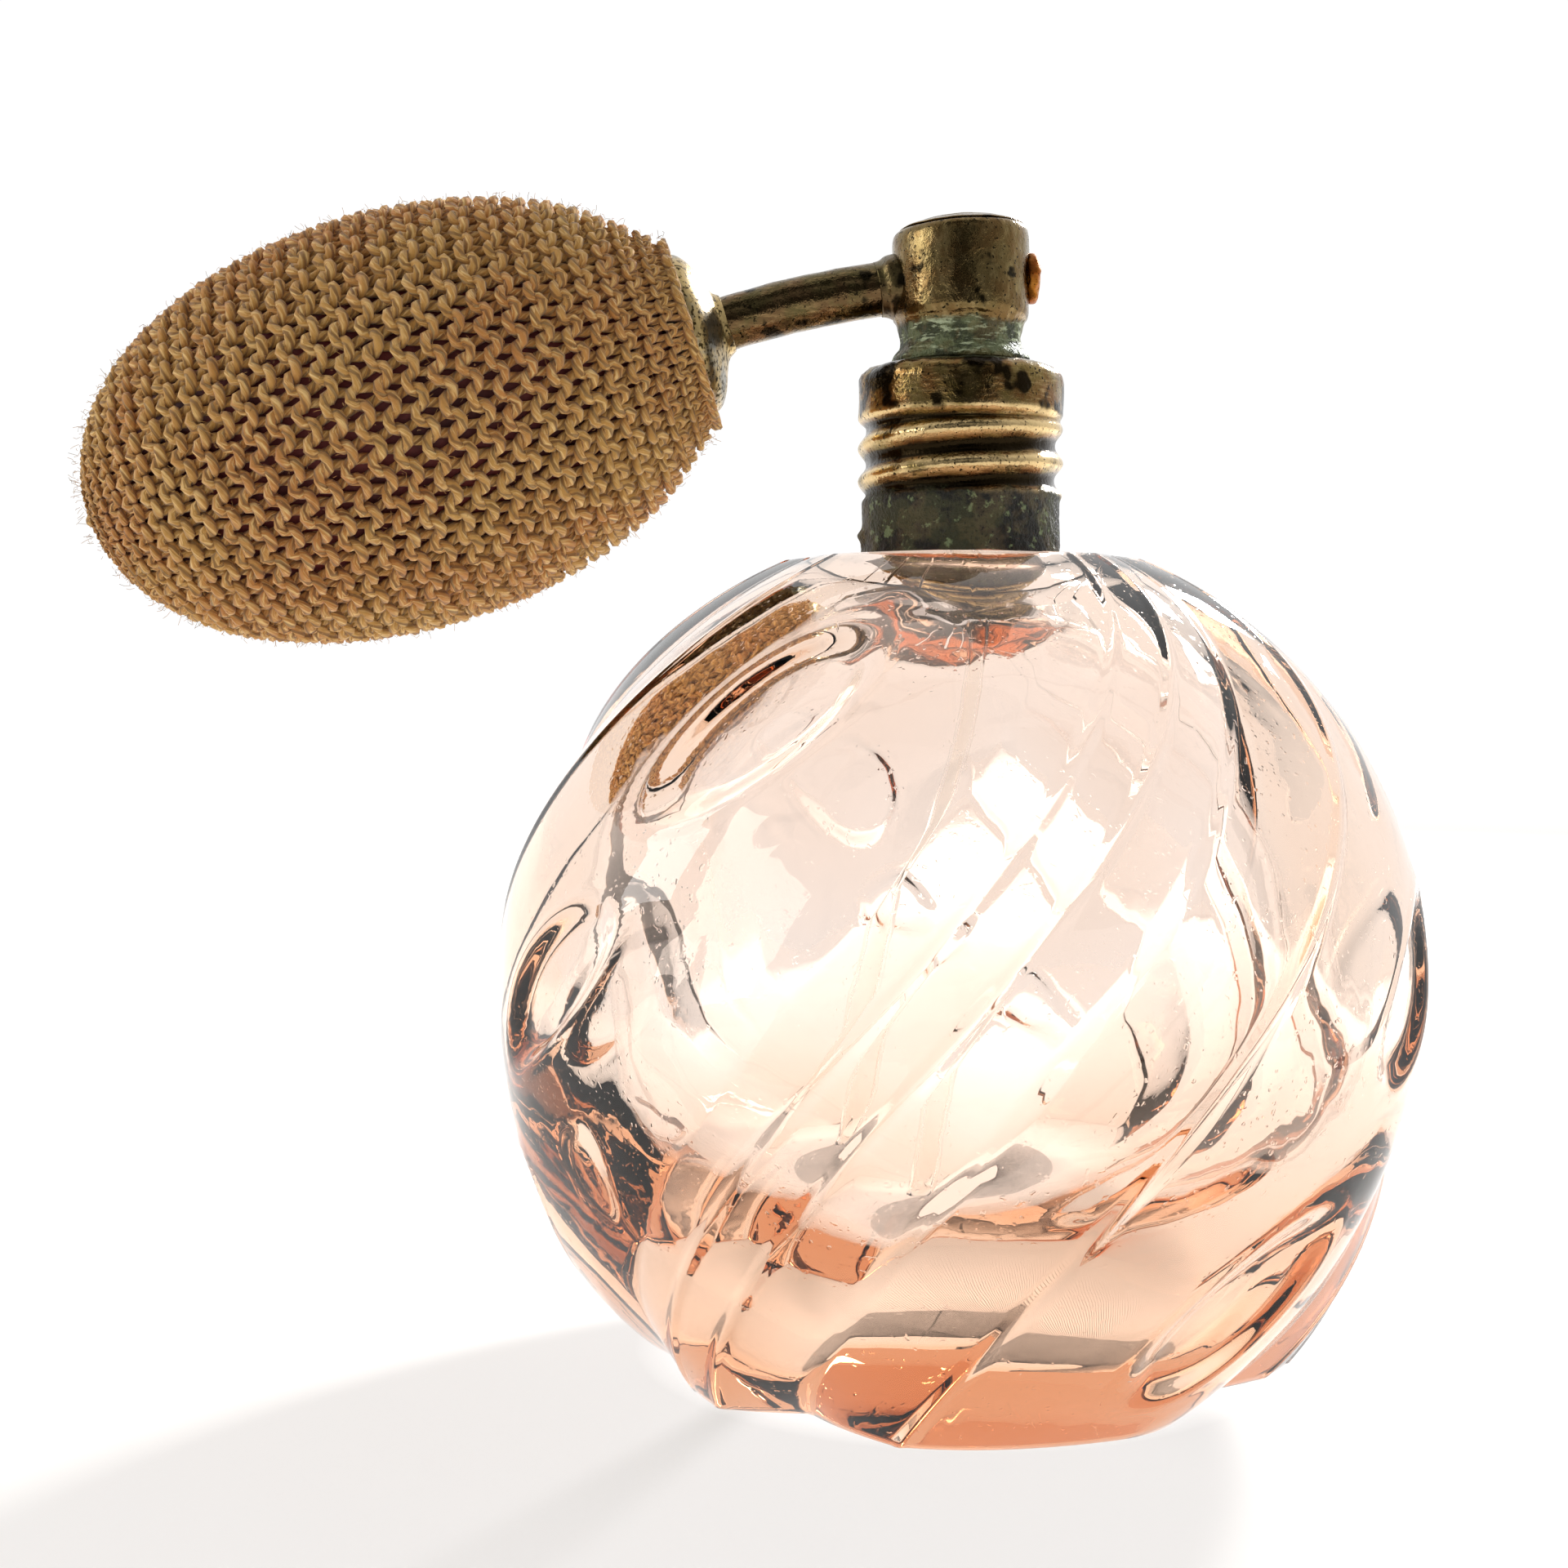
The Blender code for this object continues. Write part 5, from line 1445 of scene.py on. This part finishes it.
@dataclass
class KnittedNet:
    """The tubular knit over the bulb, purl side out: one closed yarn a course."""

    bulb: SqueezeBulb = field(default_factory=SqueezeBulb)
    stitches: int = 40
    course_step: float = 1.96 * MM
    loop_rise: float = 1.46 * MM
    loop_lean: float = 0.185
    loop_depth: float = 0.45 * MM
    yarn_radius: float = 0.39 * MM
    samples: int = 14
    first_course: float = 0.8 * MM
    # Distance along the bulb's axis where the knit begins, on the cup's skirt
    start: float = 2.6 * MM
    hairs: int = 4200
    seed: int = 11

    def meridian(self) -> tuple[np.ndarray, np.ndarray, np.ndarray]:
        """Trace the middle of the knit from the cup's rim to the tail.

        Returns:
            Run along the line, distance along the bulb's axis, and radius.
        """
        deep = self.yarn_radius + self.loop_depth
        length, width = self.bulb.half_length - deep, self.bulb.half_width - deep
        turn = np.linspace(0.0, math.pi, 4000)
        along = self.bulb.half_length - length * np.cos(turn)
        radius = width * np.sin(turn)
        kept = along > self.start
        along, radius = along[kept], radius[kept]
        rim = self.bulb.cup_radius + 0.50 * MM
        ease = 0.8 * MM
        radius = np.where(along < 8.0 * MM,
                          ease * np.logaddexp(radius / ease, rim / ease), radius)
        run = np.concatenate([[0.0], np.cumsum(np.hypot(np.diff(along), np.diff(radius)))])
        return run, along, radius

    def course(self, place: float, rng: np.random.Generator) -> tuple[np.ndarray, np.ndarray]:
        """Lay one course of loops.

        Args:
            place: Run along the meridian of the course's middle.
            rng: Source of small unevenness.

        Returns:
            The yarn's points and thickness factors.
        """
        run, along, radius = self.meridian()
        count = self.stitches * self.samples
        stitch = np.repeat(np.arange(self.stitches), self.samples)
        t = np.tile(TURN * np.arange(self.samples) / self.samples, self.stitches)
        uneven = self.spread(rng, 0.07)[stitch] + 1.0
        shift = self.spread(rng, 0.05)[stitch]
        turn = (stitch + t / TURN + self.loop_lean * np.sin(2.0 * t) + shift) * TURN
        turn /= self.stitches
        here = place + self.loop_rise * uneven * np.cos(t)
        here = np.clip(here, 0.0, run[-1] - 0.4 * MM)
        s, r = np.interp(here, run, along), np.interp(here, run, radius)
        slope_s = np.gradient(along, run)
        slope_r = np.gradient(radius, run)
        ds, dr = np.interp(here, run, slope_s), np.interp(here, run, slope_r)
        crowd = np.clip(TURN * r / self.stitches / (1.75 * MM), 0.30, 1.0)
        lift = self.loop_depth * crowd * np.cos(2.0 * t)
        lift += np.repeat(self.spread(rng, 0.05 * MM), self.samples)
        s, r = s - dr * lift, r + ds * lift
        points = np.column_stack([r * np.cos(turn), r * np.sin(turn), s])
        thick = crowd * (1.0 + 0.05 * np.sin(np.arange(count) * 0.37 + place * 900.0))
        return points, thick

    def spread(self, rng: np.random.Generator, amount: float) -> np.ndarray:
        """Draw one small random number a stitch."""
        return rng.uniform(-amount, amount, self.stitches)

    def placed(self, points: np.ndarray) -> np.ndarray:
        """Lay points of the bulb's own axes into the frame."""
        turn = np.array(BULB_PLACE.to_3x3())
        return points @ turn.T + np.array(BULB_PLACE.translation)

    def build_courses(self) -> None:
        """Build the courses as three pieces of knit."""
        rng = np.random.default_rng(self.seed)
        run = self.meridian()[0]
        places = np.arange(self.first_course, run[-1] - 1.6 * MM, self.course_step)
        bands = ("net_front", "net_middle", "net_back")
        for name, group in zip(bands, np.array_split(places, len(bands))):
            laid = [self.course(float(place), rng) for place in group]
            mesh = yarn_mesh(name, [self.placed(points) for points, _ in laid],
                             [thick for _, thick in laid], self.yarn_radius, 6, True)
            nodes = ("net_cover",) if name == bands[0] else ()
            piece = finish_piece(name, mesh, COTTON_YARN, "cotton_net", Body.BULB, *nodes)
            self.bulb.squash(piece)
            LOG.info("%s: %d courses, %d faces", name, len(group), len(mesh.polygons))

    def build_fuzz(self) -> None:
        """Build the loose fibres that stand off the yarn."""
        rng = np.random.default_rng(self.seed + 1)
        run, along, radius = self.meridian()
        here = rng.uniform(0.0, run[-1] * 0.99, self.hairs)
        turn = rng.uniform(0.0, TURN, self.hairs)
        # As many hairs a square millimetre at the narrow ends as at the middle
        spread = rng.uniform(0.0, radius.max(), self.hairs) < np.interp(here, run, radius)
        here, turn = here[spread], turn[spread]
        count = len(here)
        s, r = np.interp(here, run, along), np.interp(here, run, radius)
        ds = np.interp(here, run, np.gradient(along, run))
        dr = np.interp(here, run, np.gradient(radius, run))
        out = np.column_stack([ds * np.cos(turn), ds * np.sin(turn), -dr])
        foot = np.column_stack([r * np.cos(turn), r * np.sin(turn), s])
        foot += out * (self.loop_depth + 0.15 * MM)
        lean = rng.normal(0.0, 0.75, (count, 3))
        curl = rng.normal(0.0, 0.8, (count, 3))
        size = rng.uniform(0.15 * MM, 0.50 * MM, count)[:, None]
        first = out + lean
        first /= np.linalg.norm(first, axis=1)[:, None]
        second = first + curl
        second /= np.linalg.norm(second, axis=1)[:, None]
        middle = foot + first * size
        tip = middle + second * size * 0.8
        paths = [self.placed(np.array(three)) for three in zip(foot, middle, tip)]
        mesh = yarn_mesh("net_fuzz", paths, None, 0.014 * MM, 4, False)
        piece = finish_piece("net_fuzz", mesh, COTTON_YARN, "cotton_net", Body.BULB)
        self.bulb.squash(piece)

    def build_edge(self) -> None:
        """Build the cord that draws the knit in round the cup."""
        turn = np.linspace(0.0, TURN, 240, endpoint=False)
        wobble = 0.10 * MM * np.sin(turn * 13.0) + 0.06 * MM * np.sin(turn * 29.0 + 1.0)
        ring = self.bulb.cup_radius + 0.62 * MM
        points = np.column_stack([(ring + wobble) * np.cos(turn), (ring + wobble) * np.sin(turn),
                                  np.full(240, self.start + 0.1 * MM) + 0.5 * wobble])
        mesh = yarn_mesh("net_draw_cord", [self.placed(points)], None, 0.40 * MM, 8, True)
        finish_piece("net_draw_cord", mesh, COTTON_YARN, "cotton_net", Body.BULB,
                     "net_edge_cord")

    def build_knot(self) -> None:
        """Build the tail knot as yarn wound into a small ball."""
        count = 320
        share = np.linspace(0.0, 1.0, count)
        angle = share * TURN * 11.0
        polar = math.pi * (0.10 + 0.80 * share)
        size = 0.50 * MM
        points = np.column_stack([size * np.sin(polar) * np.cos(angle),
                                  size * np.sin(polar) * np.sin(angle + 0.5 * polar),
                                  50.2 * MM - size * np.cos(polar)])
        mesh = yarn_mesh("net_knot", [self.placed(points)], None, 0.26 * MM, 6, False)
        finish_piece("net_knot", mesh, COTTON_YARN, "cotton_net", Body.BULB_TAIL,
                     "net_tail_knot")

    def build(self) -> None:
        """Build the whole net."""
        self.build_courses()
        self.build_fuzz()
        self.build_edge()
        self.build_knot()


# ---------------------------------------------------------------- stage


@dataclass
class Studio:
    """White floor, white surround, a high light behind on the right, dark flags in front."""

    floor_size: float = 8.0
    camera_place: tuple[float, float, float] = (-0.01345, -0.1648, 0.0494)
    camera_dip: float = math.radians(2.15)
    lens: float = 49.3
    # Brightness of the surround in front of the object, behind it, and as the camera sees it
    front_glow: float = 0.28
    back_glow: float = 1.07
    seen_glow: float = 1.02
    # Least brightness that is seen through the glass
    through_glow: float = 0.66

    def build_floor(self) -> None:
        """Build the pale floor, with painted light under the bottle's foot."""
        shape = bmesh.new()
        bmesh.ops.create_grid(shape, x_segments=1, y_segments=1, size=self.floor_size / 2.0)
        floor = bpy.data.objects.new("floor", closed_off(shape, "floor"))
        bpy.context.scene.collection.objects.link(floor)
        paper = bpy.data.materials.new("white_card")
        paper.use_nodes = True
        tree = paper.node_tree
        shader = tree.nodes["Principled BSDF"]
        fill_inputs(tree, shader, {"Base Color": linear("#F6F3F0"), "Roughness": 0.9,
                                   "Specular IOR Level": 0.1})
        # Far paper glows, so that it runs into the surround without a line
        place = add_node(tree, "TexCoord").outputs["Object"]
        away = add_node(tree, "VectorMath", LENGTH, {0: place})
        far = add_node(tree, "MapRange", None,
                       {"Value": away, "From Min": 0.15, "From Max": 0.9,
                        "To Min": 0.0, "To Max": 0.40})
        # Painted light: the paper under the bottle's foot glows, standing in for the light that the
        # bottle gathers
        under = add_node(tree, "MapRange", None,
                         {"Value": away, "From Min": 0.015, "From Max": 0.025,
                          "To Min": 0.55, "To Max": 0.0})
        # Glow of the far paper, plus the painted light under the foot
        glow = add_node(tree, "Math", PLUS, {0: far, 1: under})
        fill_inputs(tree, shader, {"Emission Color": linear("#FFFFFF"),
                                   "Emission Strength": glow})
        floor.data.materials.append(paper)

    def add_card(self, name: str, place: Vector, aim: Vector,
                 size: tuple[float, float]) -> bpy.types.Object:
        """Add a dark flag that glass and metal see and the camera doesn't.

        Args:
            name: The flag's name.
            place: Its middle.
            aim: The point that it faces.
            size: Its width and height.

        Returns:
            The flag.
        """
        shape = bmesh.new()
        turn = (aim - place).to_track_quat("Z", "Y").to_matrix().to_4x4()
        bmesh.ops.create_grid(shape, x_segments=1, y_segments=1, size=0.5,
                              matrix=Matrix.Translation(place) @ turn
                              @ Matrix.Diagonal((*size, 1.0, 1.0)))
        card = bpy.data.objects.new(name, closed_off(shape, name))
        bpy.context.scene.collection.objects.link(card)
        felt = bpy.data.materials.get("black_felt") or bpy.data.materials.new("black_felt")
        felt.use_nodes = True
        felt.node_tree.nodes["Principled BSDF"].inputs["Base Color"].default_value = (
            linear("#0E0D0C"))
        card.data.materials.append(felt)
        card.visible_camera = False
        card.visible_shadow = False
        card.visible_diffuse = False
        return card

    def build_veil(self) -> None:
        """Build the veil that only shadow rays meet, in the place of the glass body."""
        shape = bmesh.new()
        bmesh.ops.create_icosphere(shape, subdivisions=4, radius=33.0 * MM,
                                   matrix=Matrix.Translation((0.0, 0.0, 31.0 * MM))
                                   @ Matrix.Diagonal((1.0, 1.0, 0.92, 1.0)))
        veil = bpy.data.objects.new("veil", closed_off(shape, "veil"))
        bpy.context.scene.collection.objects.link(veil)
        haze = bpy.data.materials.new("pale_haze")
        haze.use_nodes = True
        tree = haze.node_tree
        clear = add_node(tree, "BsdfTransparent", None, {"Color": linear("#C8C8CA")})
        fill_inputs(tree, tree.nodes["Material Output"], {"Surface": clear})
        veil.data.materials.append(haze)
        veil.visible_camera = False
        veil.visible_glossy = False
        veil.visible_diffuse = False
        veil.visible_transmission = False

    def add_light(self, name: str, place: Vector, size: float, watts: float) -> None:
        """Add a soft white square light that faces the object.

        Args:
            name: The light's name.
            place: Its middle.
            size: Length of its side.
            watts: Its power.
        """
        lamp = bpy.data.lights.new(name, "AREA")
        lamp.size = size
        lamp.energy = watts
        holder = bpy.data.objects.new(name, lamp)
        holder.location = place
        holder.rotation_euler = (Vector((-0.01, 0.0, 0.04)) - place).to_track_quat(
            "-Z", "Y").to_euler()
        bpy.context.scene.collection.objects.link(holder)

    def build_camera(self) -> None:
        """Place the camera at the level of the bottle's upper half."""
        eye = bpy.data.cameras.new("camera")
        eye.lens = self.lens
        eye.sensor_width = 36.0
        eye.clip_start = 0.01
        holder = bpy.data.objects.new("camera", eye)
        holder.location = self.camera_place
        holder.rotation_euler = (math.pi / 2.0 - self.camera_dip, 0.0, 0.0)
        bpy.context.scene.collection.objects.link(holder)
        bpy.context.scene.camera = holder

    def build(self) -> None:
        """Build floor, surround, lights, flags and camera."""
        scene = bpy.context.scene
        scene.view_settings.view_transform = "Standard"
        world = bpy.data.worlds.new("white_surround")
        scene.world = world
        world.use_nodes = True
        tree = world.node_tree
        parts = add_node(tree, "SeparateXYZ", None,
                         {"Vector": add_node(tree, "TexCoord").outputs["Generated"]})
        ahead = add_node(tree, "MapRange", SMOOTH,
                         {"Value": parts.outputs[1], "From Min": -0.9, "From Max": 0.6,
                          "To Min": self.front_glow, "To Max": self.back_glow})
        ray = add_node(tree, "LightPath")
        through = add_node(tree, "Math", LARGER,
                           {0: ahead, 1: self.through_glow})
        bent = add_node(tree, "Mix", NUMBERS,
                        {0: ray.outputs["Is Transmission Ray"], 2: ahead, 3: through})
        glow = add_node(tree, "Mix", NUMBERS,
                        {0: ray.outputs["Is Camera Ray"], 2: bent, 3: self.seen_glow})
        fill_inputs(tree, tree.nodes["Background"],
                    {"Color": linear("#FFFFFF"), "Strength": glow})
        self.build_floor()
        self.build_veil()
        front = self.add_card("flag_front", Vector((0.02, -0.52, 0.16)),
                              Vector((0.0, 0.0, 0.06)), (0.34, 0.40))
        # The metal mirrors this flag, and the glass would turn black with it
        front.visible_transmission = False
        self.add_card("flag_over", Vector((0.0, -0.30, 0.60)), Vector((0.0, 0.0, 0.05)),
                      (0.60, 0.24))
        self.add_light("key", Vector((0.26, 0.42, 0.34)), 0.07, 3.4)
        self.add_light("fill", Vector((-0.62, -0.12, 0.30)), 0.30, 1.2)
        self.build_camera()


def clear_factory_things() -> None:
    """Remove the cameras and lights that the start file holds."""
    for thing in list(bpy.data.objects):
        if thing.type in {"CAMERA", "LIGHT"}:
            bpy.data.objects.remove(thing, do_unlink=True)


def dress_nodes() -> None:
    """Give each CAD node that stays its own finish."""
    for name, finish in NODE_FINISHES.items():
        node = frame["nodes"][name]
        node.data.materials.clear()
        node.data.materials.append(finish.material())
        LOG.info("%s: %s", name, finish.name)


def main() -> None:
    """Build the atomiser and its stage, and report each piece."""
    logging.basicConfig(level=logging.INFO, format="%(message)s")
    clear_factory_things()
    Studio().build()
    dress_nodes()
    bottle = GlassBottle().build()
    LOG.info("bottle: %d faces", len(bottle.data.polygons))
    collar = ScrewCollar().build()
    LOG.info("collar: %d faces", len(collar.data.polygons))
    SprayHead().build()
    LOG.info("head built")
    DipTube().build()
    bulb = SqueezeBulb()
    bulb.build()
    LOG.info("bulb built")
    KnittedNet(bulb).build()
    LOG.info("net built")


if __name__ == "__main__":
    main()
